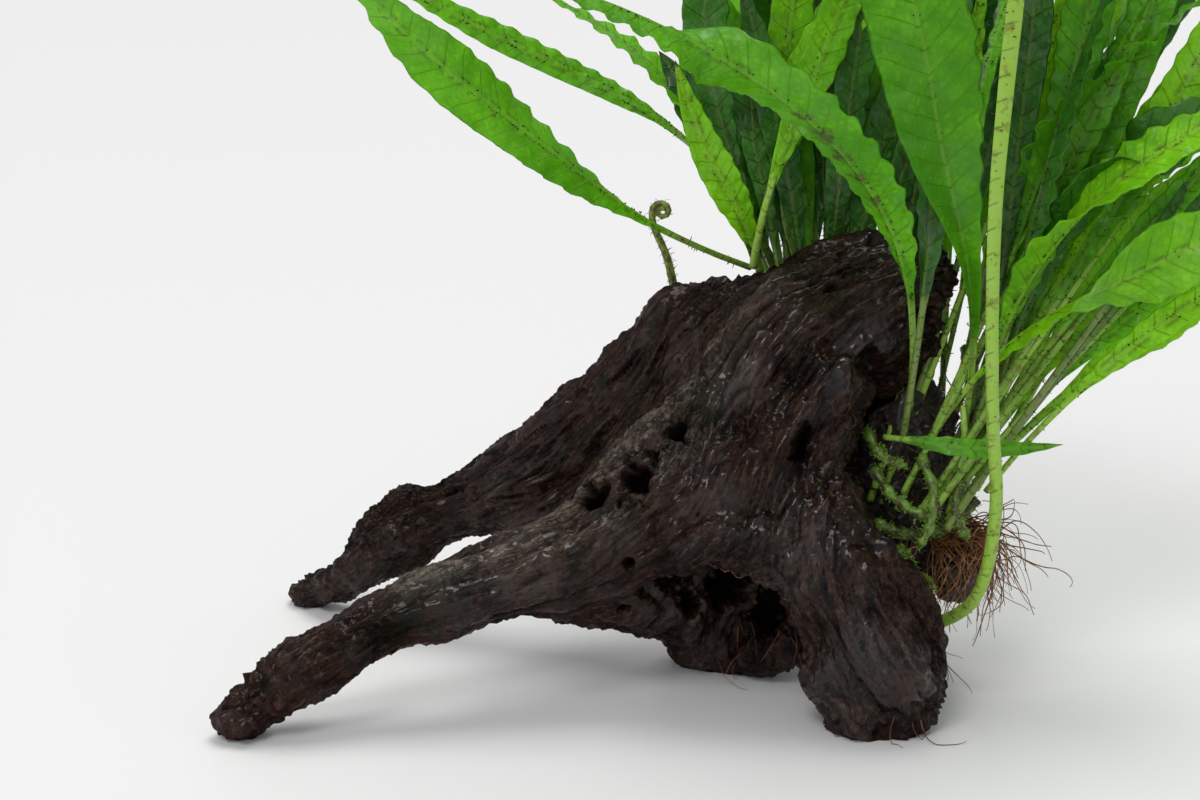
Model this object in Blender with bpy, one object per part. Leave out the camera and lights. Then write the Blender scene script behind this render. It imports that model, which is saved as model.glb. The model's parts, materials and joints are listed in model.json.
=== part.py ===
"""A java fern growing on a piece of driftwood root, life size, in metres, +Z up.

The wood stands on five feet: the tips of two long legs on the left, a blunt foot at the front
right, a heel under the arch and a back foot. Rhizomes creep over its back and its right side, a
clump of soil and roots fills the hollow between them, and every frond starts on a rhizome.
Routes are written in millimetres, before the finished model is centred over the origin.
"""

import math
import random
from dataclasses import dataclass, replace

import bmesh
import bpy
from mathutils import Matrix, Quaternion, Vector
from mathutils.bvhtree import BVHTree

MM = 0.001
GAP = 0.0003  # clearance between neighbouring solids

# Driftwood
WOOD_VOXEL = 0.0019
WOOD_SMOOTH_ROUNDS = 5
WOOD_TRIANGLES = 3200
STRAND_SIDES = 14
STRAND_STEP = 0.004
LEG_CUT_X = -0.016  # the two long legs end here
FEET_CUT_Z = 0.037  # the heel, front foot and back foot end here
LEGS_APART_Y = 0.014

# Fern
FROND_STATIONS = 11
FROND_CLEARANCE = 0.00045
BLADE_THICKNESS = 0.0009
PETIOLE_RADIUS = 0.0012
FOLD = 0.16  # how far the blade's margins stand above its midrib, per half width
RHIZOME_SIDES = 8

# Each strand of wood: (x, y, z, half depth, half height) along its run, in millimetres.
STRANDS = {
    "front_ridge": [
        (-97, -37, 2.5, 4, 4), (-92, -36, 4.5, 6, 6), (-86, -35, 9.5, 6.5, 6.5),
        (-79, -33, 15, 8.5, 9), (-65, -29, 22.5, 9, 8.8), (-52, -25, 28, 9.5, 8.4),
        (-39, -21, 32.5, 10, 10), (-26, -17, 35, 11, 11), (-13, -14, 40, 12, 12),
        (0, -10, 48, 12, 13), (12, -7, 57, 13, 14), (24, -3, 68, 13, 14), (36, 2, 80, 14, 14),
        (50, 7, 96, 15, 17), (63, 11, 103, 16, 17), (79, 13, 107, 16, 15), (89, 14, 103, 13, 11),
    ],
    "rear_arm": [
        (-89, 64, 1.5, 4, 3.5), (-84, 62, 3.2, 5, 4.8), (-78, 58, 8, 6, 5.8),
        (-71, 54, 13, 7.5, 6), (-62, 50, 22.5, 10, 9), (-53, 47, 29.5, 11, 11.5),
        (-44, 44.5, 34, 9, 9), (-28, 39, 40, 11, 10), (-10, 34, 46, 14, 12),
        (6, 30, 54, 16, 15), (22, 26, 66, 17, 17), (38, 22, 78, 18, 18),
    ],
    "rear_ridge": [
        (-45, 46, 37, 7, 5), (-28, 39, 47, 9, 8), (-11, 35, 60, 10, 9), (3, 33, 70, 11, 10),
        (16, 31, 81, 12, 11), (26, 28, 93, 12, 11), (40, 26, 95, 14, 11), (58, 24, 98, 14, 12),
        (76, 22, 100, 14, 12),
    ],
    "crown": [
        (20, 16, 60, 20, 14), (36, 16, 74, 21, 18), (52, 15, 86, 21, 20), (68, 15, 94, 19, 20),
        (82, 16, 100, 17, 16), (90, 16, 101, 13, 11),
    ],
    "belly": [
        (8, 8, 42, 16, 12), (28, 8, 54, 20, 16), (44, 10, 64, 20, 18), (56, 13, 76, 18, 18),
    ],
    "arch_web": [
        (-34, -14, 29, 8, 7), (-16, -11, 31, 10, 8), (0, -6, 29, 11, 10), (14, 0, 24, 11, 11),
        (26, 6, 18, 11, 11),
    ],
    "front_face": [
        (-4, -12, 40, 9, 11), (16, -13, 50, 10, 14), (34, -13, 58, 11, 16), (48, -10, 68, 12, 16),
        (58, -5, 82, 12, 14),
    ],
    "brow": [
        (-8, -12, 34, 8, 7), (14, -17, 44, 8, 8), (32, -21, 48, 9, 8), (46, -23, 47, 10, 9),
        (58, -25, 42, 11, 11), (68, -28, 32, 12, 13),
    ],
    "front_foot": [
        (60, -2, 90, 13, 12), (53, -8, 74, 13, 11), (53, -14, 60, 13, 12), (58, -20, 47, 14, 13),
        (66, -26, 34, 14, 16), (71, -29, 22, 14, 18.5), (72, -30, 11, 13, 18.5),
        (71, -31, 3, 10, 13), (70, -32, -4, 8, 9),
    ],
    "heel": [
        (30, 10, 50, 15, 16), (28, 10, 36, 13, 15), (29, 12, 24, 13, 16), (31, 15, 12, 12.5, 17),
        (32, 17, 4, 10.5, 14), (32, 18, -4, 9, 10),
    ],
    "cavity_wall": [
        (44, 12, 62, 12, 12), (46, 13, 44, 11, 13), (48, 14, 28, 10, 14), (48, 13, 16, 8, 12),
        (49, 12, 9, 5, 7),
    ],
    "back_foot": [
        (66, 20, 84, 15, 14), (71, 25, 64, 13, 13), (74, 30, 46, 11, 12), (76, 34, 26, 10, 11),
        (77, 36, 9, 10.5, 12), (77, 37, -5, 9, 10),
    ],
}

# Creeping stems: (radius, route) in millimetres; each is laid against the wood.
RHIZOMES = {
    "rhizome_back": (2.4, [(34, 43, 92), (46, 44, 98), (58, 43, 102), (70, 41, 104), (83, 38, 102)]),
    "rhizome_side": (2.3, [(99, 24, 88), (101, 15, 74), (99, 7, 62), (94, 0, 53)]),
    "rhizome_low": (1.6, [(73, -3, 47), (80, -4, 44), (88, -4, 44.5), (95, -2, 48), (100, 1, 52)]),
    "rhizome_shoot": (1.9, [(79, -6, 40), (81, -9, 37), (83, -11, 34), (87, -12, 31)]),
}
LAID_ON_WOOD = {"rhizome_back"}

# Lumps of soil and matted roots: (centre, half sizes, lean to the right in degrees).
LUMPS = {
    "root_clump": ((82, 17, 57), (17, 19, 34), -7),
    "root_ball": ((96, 6, 31), (8.5, 10, 11), 12),
}


@dataclass(frozen=True)
class Frond:
    """One frond: its route from the rhizome to its tip, and the shape of its blade.

    route is in millimetres, width in millimetres across the widest part, blade_from the share of
    the route that is petiole, face the way the blade's upper side looks.
    """

    name: str
    route: tuple
    width: float
    blade_from: float = 0.3
    face: tuple = (0.0, -1.0, 0.35)
    petiole: float = 1.2
    colour: str = "leaf_green"


LOW_VIEW = (0.0, -1.0, 0.35)
FRONDS = (
    Frond("frond_tall", ((84, -6, 15), (90, -15, 19), (97.5, -23, 31), (101, -28, 45), (101, -32, 62),
          (99, -35, 82), (97.5, -37, 105), (96.5, -38, 125), (96.5, -38, 150), (98, -36, 174),
          (101, -32, 196), (106, -24, 222), (113, -13, 248), (121, -1, 272)), 26, 0.67,
          (-0.2, -1.0, 0.1), 2.4, "petiole_pale"),
    Frond("frond_left_low", ((46, 39, 101), (41, 33, 107), (27, 22, 114), (14, 12, 122),
          (-4, 2, 136), (-26, -8, 157), (-43.5, -14, 173), (-58, -18, 188), (-67, -20, 201)),
          15, 0.27, (0.25, -1.0, 0.2)),
    Frond("frond_arching", ((82, 2, 74), (84, -6, 97), (82, -13, 117), (77, -21, 134),
          (68, -28, 150), (57, -33, 162), (43, -37, 171), (21, -42, 181), (0, -47, 191),
          (-20, -52, 198), (-38, -55, 202)), 14, 0.22, (0.1, -1.0, 0.3)),
    Frond("frond_broad", ((97, 2, 70), (99, -8, 97), (98, -12, 115), (95, -16, 134),
          (91, -21, 152), (87, -26, 170), (80, -31, 190), (73, -34, 210), (65, -35, 230),
          (60, -33, 250)), 25, 0.15, (0.05, -1.0, 0.1)),
    Frond("frond_right_low", ((86, 6, 57), (91, 1, 76), (99, -8, 92), (112, -14, 104),
          (126, -18, 112), (141, -20, 121), (157, -20, 131), (175, -18, 139)),
          15.5, 0.26, (-0.25, -1.0, 0.5), 1.2, "leaf_bright"),
    Frond("frond_hairy", ((88, 0, 41), (99, 8, 50), (109, 11, 66), (118, 10, 85), (124, 8, 98),
          (130, 8, 113), (138, 6, 123), (147, 4, 132), (159, 0, 144), (170, -2, 153)),
          12.5, 0.42, (-0.3, -1.0, 0.1), 1.2, "leaf_bright"),
    Frond("frond_left_far", ((52, 47, 101), (46, 50, 112), (39, 50, 126), (30, 51, 139),
          (19, 50, 148), (0, 48, 156), (-16, 46, 164), (-32, 44, 171), (-47, 42, 179),
          (-60, 40, 187)), 13, 0.42, (0.1, -0.45, 1.0)),
    Frond("frond_small_upright", ((44, 34, 104), (41.5, 28, 115), (38, 26, 124), (29, 22, 139),
          (22.5, 18, 155), (19, 16, 167)), 8, 0.12, (-0.1, -1.0, 0.0), 1.2, "leaf_bright"),
    Frond("frond_dark_upright", ((49, 40, 103), (43, 31, 117), (37, 29, 130), (31, 27, 149),
          (27, 25, 166), (25, 21, 182), (27, 17, 197), (30, 12, 212), (34, 6, 226)), 12.5, 0.14,
          (0.2, -1.0, 0.0), 1.3, "leaf_dark"),
    Frond("frond_right_pale", ((97, 8, 58), (101, 2, 85), (104, -5, 105), (109, -10, 120),
          (117, -13, 132), (128, -15, 141), (138, -16, 149), (150, -16, 156), (166, -14, 163)),
          16, 0.28, (-0.5, -0.8, 0.6), 1.2, "leaf_bright"),
    Frond("frond_right_big", ((99, 3, 66), (102, 1, 96), (106, -1, 119), (112, -3, 133),
          (122, -4, 145), (130, -4, 153), (139, -4, 160), (151, -3, 165), (167, 0, 168)), 18, 0.26,
          (-0.55, -0.8, 0.5), 1.4, "leaf_dark"),
    Frond("frond_right_under", ((103, 15, 60), (110, 12, 96), (116, 11, 115), (126, 10, 129),
          (138, 9, 139), (147, 8, 145), (157, 8, 153), (170, 9, 161)), 15, 0.35,
          (-0.4, -0.8, 0.6), 1.1),
    Frond("frond_right_wavy", ((101, 10, 68), (104, 9, 97), (107, 8, 121), (110, 7, 138),
          (118, 6, 154), (127, 5, 165), (137, 4, 172), (148, 3, 181), (161, 3, 191)), 17, 0.28,
          (-0.6, -0.8, 0.3), 1.2, "leaf_green"),
    Frond("frond_right_glossy", ((97, 18, 76), (102, 14, 104), (105, 12, 126), (107, 10, 145),
          (108, 8, 163), (109, 7, 180), (111, 7, 200), (114, 9, 222)), 14, 0.28,
          (-0.1, -1.0, 0.1), 1.2, "leaf_dark"),
    Frond("frond_right_clear", ((103, 22, 74), (107, 20, 108), (112, 18, 133), (117, 16, 154),
          (124, 14, 170), (131, 13, 184), (139, 12, 200), (148, 12, 215)), 15, 0.28,
          (-0.5, -0.9, 0.1), 1.2, "leaf_bright"),
    Frond("frond_right_steep", ((99, -1, 72), (104, -3, 97), (107, -5, 118), (109, -7, 140),
          (112, -7, 160), (116, -6, 180), (120, -4, 200), (125, 0, 220)), 14, 0.3,
          (-0.8, -0.7, 0.0), 1.3, "leaf_dark"),
    Frond("frond_dart", ((74, -8, 72), (80, -13, 73), (89, -17, 72), (99, -19, 72),
          (109, -19, 72), (119, -18, 73)), 6, 0.08, (0.0, -1.0, 0.3), 0.8),
    Frond("frond_stalk", ((80, -5, 70), (81, -11, 88), (83, -15, 105), (84, -17, 124),
          (85, -13, 141), (86, -6, 158), (87, 0, 174), (90, 6, 192), (94, 12, 212)), 15, 0.5,
          (0.2, -1.0, 0.0), 1.3, "leaf_dark"),
    Frond("frond_mid_upright", ((50, 45, 104), (45, 42, 127), (46, 40, 144), (51, 38, 163),
          (51, 36, 177), (52, 34, 195), (53, 30, 215)), 12, 0.5, (0.1, -1.0, 0.1), 1.1,
          "leaf_bright"),
    Frond("frond_mid_fork_right", ((58, 46, 103), (54, 43, 122), (50, 40, 142), (49, 36, 157),
          (56, 32, 169), (66, 28, 179), (79, 24, 190), (92, 20, 198)), 12, 0.42,
          (-0.4, -1.0, 0.2), 1.1, "leaf_bright"),
    Frond("frond_mid_fork_left", ((62, 46, 105), (57, 42, 125), (53, 38, 142), (48, 36, 160),
          (41, 34, 172), (33, 31, 184), (23, 28, 197)), 11, 0.4, (0.3, -1.0, 0.2), 1.1),
    Frond("frond_rib_dotted", ((40, 36, 103), (38, 24, 113), (38, 22, 121), (40, 23, 135),
          (45, 25, 151), (51, 27, 169), (56, 28, 190), (60, 28, 210)), 11, 0.3,
          (0.3, -1.0, 0.0), 1.1, "leaf_bright"),
    Frond("frond_thin_stalk", ((55, 40, 106), (46, 33, 119), (45, 32, 134), (47, 33, 147),
          (53, 35, 166), (59, 36, 186), (66, 36, 208)), 12, 0.48, (-0.2, -1.0, 0.0), 1.1),
    Frond("frond_right_back", ((102, 27, 72), (110, 28, 95), (113, 27, 128), (120, 25, 152),
          (129, 23, 170), (139, 21, 182), (150, 18, 194)), 13, 0.38, (-0.5, -0.9, 0.1), 1.2),
)


@dataclass(frozen=True)
class Clump:
    """A run of fronds that a rhizome bears out of sight, fanned out by a rule."""

    prefix: str
    count: int
    start: tuple
    end: tuple
    heading: tuple  # degrees round the vertical, first to last, 0 along +X and 90 along +Y
    length: tuple
    lean: tuple  # how far the tip stands out, per unit of length
    width: tuple
    seed: int
    colours: tuple = ("leaf_green", "leaf_dark")


CLUMPS = (
    Clump("frond_crown", 10, (50, 46, 105), (94, 41, 104), (175, 15), (108, 148), (0.1, 0.28),
          (13, 16), 12, ("leaf_dark", "leaf_green", "leaf_dark")),
    Clump("frond_back", 7, (44, 51, 97), (96, 46, 96), (150, 50), (105, 140), (0.5, 0.8),
          (12, 17), 23),
    Clump("frond_side", 5, (106, 32, 84), (107, 20, 66), (62, 5), (115, 150), (0.42, 0.72),
          (13, 17), 41, ("leaf_green", "leaf_bright", "leaf_dark")),
)

COLOURS = {
    "driftwood": ((0.045, 0.026, 0.020, 1.0), 0.45),
    "soil": ((0.030, 0.018, 0.011, 1.0), 0.85),
    "rhizome_green": ((0.16, 0.27, 0.05, 1.0), 0.5),
    "leaf_green": ((0.07, 0.27, 0.02, 1.0), 0.4),
    "leaf_bright": ((0.17, 0.42, 0.03, 1.0), 0.4),
    "leaf_dark": ((0.025, 0.14, 0.015, 1.0), 0.38),
    "petiole_pale": ((0.38, 0.55, 0.13, 1.0), 0.42),
}


def clear_scene():
    for obj in list(bpy.data.objects):
        bpy.data.objects.remove(obj)


def material(name):
    """The named Principled material, made once."""
    found = bpy.data.materials.get(name)
    if found:
        return found
    made = bpy.data.materials.new(name)
    made.use_nodes = True
    colour, roughness = COLOURS[name]
    shader = made.node_tree.nodes["Principled BSDF"]
    shader.inputs["Base Color"].default_value = colour
    shader.inputs["Roughness"].default_value = roughness
    shader.inputs["Metallic"].default_value = 0.0
    return made


def add_object(name, mesh, colour):
    obj = bpy.data.objects.new(name, mesh)
    obj.data.materials.append(material(colour))
    bpy.context.scene.collection.objects.link(obj)
    return obj


def mesh_from(bm, name, smooth=False):
    bmesh.ops.recalc_face_normals(bm, faces=bm.faces)
    mesh = bpy.data.meshes.new(name)
    bm.to_mesh(mesh)
    bm.free()
    if smooth:
        mesh.shade_smooth()
    return mesh


def evaluated_bmesh(obj):
    """A bmesh of the object with its modifiers applied; the object itself is removed."""
    graph = bpy.context.evaluated_depsgraph_get()
    bm = bmesh.new()
    bm.from_object(obj, graph)
    bpy.data.objects.remove(obj)
    return bm


def smooth_route(points, step):
    """Points about a step apart on a smooth curve through the given ones; extra values blend too."""
    rows = [list(p) for p in points]
    ends = [[2 * a - b for a, b in zip(rows[0], rows[1])]]
    tail = [[2 * a - b for a, b in zip(rows[-1], rows[-2])]]
    padded = ends + rows + tail
    route = []
    for i in range(1, len(padded) - 2):
        p0, p1, p2, p3 = padded[i - 1:i + 3]
        span = math.dist(p1[:3], p2[:3])
        pieces = max(1, round(span / step))
        for k in range(pieces):
            t = k / pieces
            route.append([
                0.5 * (2 * b + (c - a) * t + (2 * a - 5 * b + 4 * c - d) * t * t
                       + (3 * b - a - 3 * c + d) * t ** 3)
                for a, b, c, d in zip(p0, p1, p2, p3)
            ])
    route.append(rows[-1])
    return route


def even_points(route, count):
    """That many points, evenly spaced by length, along a fine polyline of Vectors."""
    lengths = [0.0]
    for a, b in zip(route, route[1:]):
        lengths.append(lengths[-1] + (b - a).length)
    points, i = [], 0
    for k in range(count):
        want = lengths[-1] * k / (count - 1)
        while i < len(route) - 2 and lengths[i + 1] < want:
            i += 1
        span = lengths[i + 1] - lengths[i] or 1.0
        points.append(route[i].lerp(route[i + 1], (want - lengths[i]) / span))
    return points


def tangents(points):
    found = []
    for i in range(len(points)):
        a, b = points[max(0, i - 1)], points[min(len(points) - 1, i + 1)]
        found.append((b - a).normalized())
    return found


def loft(bm, rings):
    """Adds a closed skin over rings of points; a ring of one point is a tip."""
    made = [[bm.verts.new(p) for p in ring] for ring in rings]
    for ring, following in zip(made, made[1:]):
        size = max(len(ring), len(following))
        for k in range(size):
            n = (k + 1) % size
            corners = [ring[k % len(ring)], ring[n % len(ring)],
                       following[n % len(following)], following[k % len(following)]]
            bm.faces.new(list(dict.fromkeys(corners)))
    for ring in (made[0], made[-1]):
        if len(ring) > 2:
            bm.faces.new(ring)


# ---------------------------------------------------------------- driftwood


def add_strand(bm, stations):
    """One strand of wood: an oval tube whose depth runs near Y and whose height crosses it."""
    route = smooth_route([[v * MM for v in s] for s in stations], STRAND_STEP)
    centres = [Vector(s[:3]) for s in route]
    rings = []
    for centre, along, (_, _, _, depth, height) in zip(centres, tangents(centres), route):
        side = (Vector((0, 1, 0)) - along * along.y).normalized()
        rise = along.cross(side)
        rings.append([
            centre + side * depth * math.cos(a) + rise * height * math.sin(a)
            for a in (2 * math.pi * k / STRAND_SIDES for k in range(STRAND_SIDES))
        ])
    loft(bm, rings)


def wood_blank():
    """All strands grown into one skin, smoothed where they meet and flat under its feet."""
    bm = bmesh.new()
    for stations in STRANDS.values():
        add_strand(bm, stations)
    blank = add_object("wood_blank", mesh_from(bm, "wood_blank"), "driftwood")
    remesh = blank.modifiers.new("grow_together", "REMESH")
    remesh.mode = "VOXEL"
    remesh.voxel_size = WOOD_VOXEL
    ease = blank.modifiers.new("ease_joins", "SMOOTH")
    ease.factor = 0.5
    ease.iterations = WOOD_SMOOTH_ROUNDS
    bm = evaluated_bmesh(blank)
    bmesh.ops.triangulate(bm, faces=bm.faces)
    share = WOOD_TRIANGLES / len(bm.faces)
    blank = add_object("wood_blank", mesh_from(bm, "wood_blank"), "driftwood")
    thin = blank.modifiers.new("thin_out", "DECIMATE")
    thin.ratio = share
    bm = evaluated_bmesh(blank)
    standing = cut_side(bm, (0, 0, -GAP / 2), Vector((0, 0, -1)))
    bm.free()
    return standing


def cut_side(bm, point, normal):
    """A closed copy of what lies behind the plane, which keeps half the gap clear of it."""
    half = bm.copy()
    cut = bmesh.ops.bisect_plane(
        half, geom=half.verts[:] + half.edges[:] + half.faces[:],
        plane_co=Vector(point) - Vector(normal) * GAP / 2, plane_no=normal, clear_outer=True)
    rim = [g for g in cut["geom_cut"] if isinstance(g, bmesh.types.BMEdge)]
    bmesh.ops.holes_fill(half, edges=rim)
    bmesh.ops.triangulate(half, faces=half.faces)
    return half


def islands(bm):
    """The separate bodies of a mesh, each as its own bmesh, largest first."""
    left, found = set(bm.verts), []
    while left:
        stack, body = [left.pop()], set()
        while stack:
            vert = stack.pop()
            body.add(vert)
            for edge in vert.link_edges:
                other = edge.other_vert(vert)
                if other in left:
                    left.remove(other)
                    stack.append(other)
        found.append(body)
    bodies = []
    for body in sorted(found, key=len, reverse=True):
        places = {v.index for v in body}
        alone = bm.copy()
        alone.verts.ensure_lookup_table()
        bmesh.ops.delete(alone, geom=[v for v in alone.verts if v.index not in places],
                         context="VERTS")
        bodies.append(alone)
    return bodies


def middle(bm):
    return sum((v.co for v in bm.verts), Vector()) / len(bm.verts)


def make_wood():
    """The driftwood split at its main forks into a crown, two legs and three feet."""
    blank = wood_blank()
    blank.verts.index_update()
    rest = cut_side(blank, (LEG_CUT_X, 0, 0), Vector((-1, 0, 0)))
    legs = cut_side(blank, (LEG_CUT_X, 0, 0), Vector((1, 0, 0)))
    crown = cut_side(rest, (0, 0, FEET_CUT_Z), Vector((0, 0, -1)))
    feet = cut_side(rest, (0, 0, FEET_CUT_Z), Vector((0, 0, 1)))
    named = {"wood_crown": islands(crown)[0]}
    for leg in islands(legs)[:2]:
        named["wood_front_leg" if middle(leg).y < LEGS_APART_Y else "wood_rear_leg"] = leg
    for foot in islands(feet)[:3]:
        place = middle(foot)
        if place.x < 50 * MM:
            named["wood_heel"] = foot
        else:
            named["wood_front_foot" if place.y < 0 else "wood_back_foot"] = foot
    return [add_object(name, mesh_from(bm, name, smooth=True), "driftwood")
            for name, bm in named.items()]


# ---------------------------------------------------------------- fern


def tube_mesh(name, points, radii, sides):
    """A round stem along the points, closed at both ends."""
    side = points[1] - points[0]
    side = side.orthogonal().normalized()
    rings = []
    for centre, along, radius in zip(points, tangents(points), radii):
        side = (side - along * side.dot(along)).normalized()
        other = along.cross(side)
        rings.append([
            centre + (side * math.cos(a) + other * math.sin(a)) * radius
            for a in (2 * math.pi * k / sides for k in range(sides))
        ])
    bm = bmesh.new()
    loft(bm, rings)
    bmesh.ops.triangulate(bm, faces=bm.faces)
    return mesh_from(bm, name, smooth=True)


def tree_of(obj):
    bm = bmesh.new()
    bm.from_mesh(obj.data)
    tree = BVHTree.FromBMesh(bm)
    bm.free()
    return tree


def lay_on(trees, point, lift):
    """The point moved to stand that far off the nearest wood."""
    nearest = min((tree.find_nearest(point) for tree in trees), key=lambda hit: hit[3])
    return nearest[0] + nearest[1] * lift


def make_rhizomes(wood_trees):
    stems = []
    for name, (radius, route) in RHIZOMES.items():
        radius *= MM
        points = [Vector(p) for p in smooth_route([[v * MM for v in p] for p in route], 0.004)]
        if name in LAID_ON_WOOD:
            points = [lay_on(wood_trees, p, radius * 1.1 + GAP) for p in points]
        count = len(points)
        radii = [radius * (0.72 + 0.28 * math.sin(math.pi * min(1, (k + 0.6) * 3 / count) / 2))
                 * (1 + 0.08 * math.sin(k * 2.3)) for k in range(count)]
        stems.append(add_object(name, tube_mesh(name, points, radii, RHIZOME_SIDES),
                                "rhizome_green"))
    return stems


def make_fiddlehead():
    """A young frond still coiled: a short stalk with a spiral at its end."""
    stalk = [Vector(p) * MM for p in ((21, 46, 95), (20, 42, 102), (18, 40, 110), (14.8, 39, 117.5))]
    turns, coil_radius, points = 1.35, 2.7 * MM, list(stalk)
    centre = stalk[-1] + Vector((coil_radius * 0.75, 0, 4.5 * MM))
    steps = 20
    for k in range(steps + 1):
        t = k / steps
        angle = math.pi - turns * 2 * math.pi * t
        reach = coil_radius * (1 - 0.72 * t)
        points.append(centre + Vector((math.cos(angle), 0.12 * t, math.sin(angle))) * reach)
    fine = [Vector(p) for p in smooth_route([list(p) for p in points], 0.0012)]
    even = even_points(fine, 30)
    radii = [1.15 * MM * (1 - 0.55 * k / 29) for k in range(30)]
    return add_object("fiddlehead", tube_mesh("fiddlehead", even, radii, 5), "rhizome_green")


def make_young_shoot():
    route = smooth_route([[v * MM for v in p] for p in
                          ((92, -6, 50), (94, -6, 59), (95.5, -4, 70), (95, -2, 79))], 0.004)
    points = [Vector(p) for p in route]
    radii = [1.4 * MM * (1 - 0.35 * k / (len(points) - 1)) for k in range(len(points))]
    return add_object("young_shoot", tube_mesh("young_shoot", points, radii, 6), "rhizome_green")


def make_clump(name, cutters):
    """A lump of soil and matted roots, cut back from the wood, the stems and other lumps."""
    centre, radii, lean = LUMPS[name]
    bm = bmesh.new()
    bmesh.ops.create_icosphere(bm, subdivisions=3, radius=1.0)
    for vert in bm.verts:
        x, y, z = vert.co
        narrow = 1.0 - 0.22 * max(0.0, z)
        lumpy = 1.0 + 0.05 * math.sin(5 * x + 2 * z) * math.cos(6 * y - 3 * z)
        vert.co = Vector((x * radii[0] * narrow, y * radii[1] * narrow, z * radii[2])) * lumpy * MM
    bmesh.ops.rotate(bm, cent=(0, 0, 0), matrix=Matrix.Rotation(math.radians(lean), 3, "Y"),
                     verts=bm.verts)
    bmesh.ops.translate(bm, vec=Vector(centre) * MM, verts=bm.verts)
    clump = add_object(name, mesh_from(bm, name), "soil")
    grown = []
    for cutter in cutters:
        bm = bmesh.new()
        bm.from_mesh(cutter.data)
        bm.normal_update()
        for vert in bm.verts:
            vert.co += vert.normal * 2.2 * GAP
        copy = add_object("cutter_" + cutter.name, mesh_from(bm, "cutter"), "soil")
        copy.hide_render = True
        cut = clump.modifiers.new("clear_" + cutter.name, "BOOLEAN")
        cut.operation = "DIFFERENCE"
        cut.object = copy
        grown.append(copy)
    bpy.context.view_layer.update()
    bm = evaluated_bmesh(clump)
    for copy in grown:
        bpy.data.objects.remove(copy)
    bmesh.ops.triangulate(bm, faces=bm.faces)
    bm.verts.index_update()
    largest = islands(bm)[0]
    return add_object(name, mesh_from(largest, name), "soil")


def blade_share(t):
    """Half width at t along the blade, from 0 at its foot to 0 at its tip, 1 at the widest."""
    return (t ** 0.95 * (1 - t) ** 0.75) / (0.559 ** 0.95 * 0.441 ** 0.75)


def frond_rings(frond, trim, turn, roll, grow):
    """Rings of four points along the frond: one margin, top of the rib, other margin, underside."""
    fine = [Vector(p) * MM for p in smooth_route(frond.route, 3.0)]
    root = fine[0].copy()
    fine = [root + turn @ (p - root) for p in fine]
    cut = 0.0
    while cut < trim and len(fine) > 4:
        cut += (fine[1] - fine[0]).length
        fine = fine[1:]
    points = even_points(fine, FROND_STATIONS)
    face = Quaternion(points[-1] - points[0], roll) @ (turn @ Vector(frond.face))
    rings = []
    last = FROND_STATIONS - 1
    for k, (centre, along) in enumerate(zip(points, tangents(points))):
        side = along.cross(face).normalized()
        up = side.cross(along)
        share = k / last
        petiole = frond.petiole * MM * (1 - 0.62 * share)
        t = max(0.0, (share - frond.blade_from) / (1 - frond.blade_from))
        half = max(petiole, frond.width / 2 * MM * blade_share(min(t, 1.0)))
        thick = max(petiole * (1 - 0.75 * t), BLADE_THICKNESS / 2)
        if k == last:
            rings.append([centre])
            continue
        rise = up * FOLD * (half - petiole)
        half, thick = half + grow, thick + grow
        rings.append([centre - side * half + rise, centre + up * thick,
                      centre + side * half + rise, centre - up * thick])
    return rings


def rings_tree(rings):
    bm = bmesh.new()
    loft(bm, rings)
    bmesh.ops.triangulate(bm, faces=bm.faces)
    tree = BVHTree.FromBMesh(bm)
    bm.free()
    return tree


def moves_to_try():
    """Small moves of a whole frond, the smallest first: yaw, pitch, roll and a shift of its root."""
    yield 0.0, 0.0, 0.0, (0, 0)
    for size in range(1, 13):
        shifts = [(0, 0)] if size < 4 else [(0, 0), (2, 0), (-2, 0), (0, 2), (0, -2)]
        for shift in shifts:
            for k in range(8):
                angle = 2 * math.pi * k / 8
                for roll in (0.0, 14.0, -14.0, 28.0, -28.0):
                    yield 1.4 * size * math.cos(angle), 1.4 * size * math.sin(angle), roll, shift


def grow_frond(frond, still, grown):
    """The frond's rings at the first move where it clears the wood, the stems and other fronds."""
    start, end = Vector(frond.route[0]), Vector(frond.route[-1])
    level = (end - start).cross(Vector((0, 0, 1))).normalized()
    for yaw, pitch, roll, shift in moves_to_try():
        turn = Quaternion((0, 0, 1), math.radians(yaw)) @ Quaternion(level, math.radians(pitch))
        roll = math.radians(roll)
        moved = replace(frond, route=tuple((x + shift[0], y + shift[1], z)
                                           for x, y, z in frond.route))
        for trim in range(0, 22, 2):
            tree = rings_tree(frond_rings(moved, trim * MM, turn, roll, FROND_CLEARANCE))
            if not any(tree.overlap(other) for other in still):
                break
        else:
            continue
        if not any(tree.overlap(other) for other in grown):
            if (yaw, pitch, roll) != (0, 0, 0) or trim:
                print(f"{frond.name}: turned {yaw:.1f}, {pitch:.1f}, rolled "
                      f"{math.degrees(roll):.0f}, shifted {shift}, trimmed {trim} mm")
            return frond_rings(moved, trim * MM, turn, roll, 0.0)
    print(f"{frond.name}: found no room")
    return None


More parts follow.
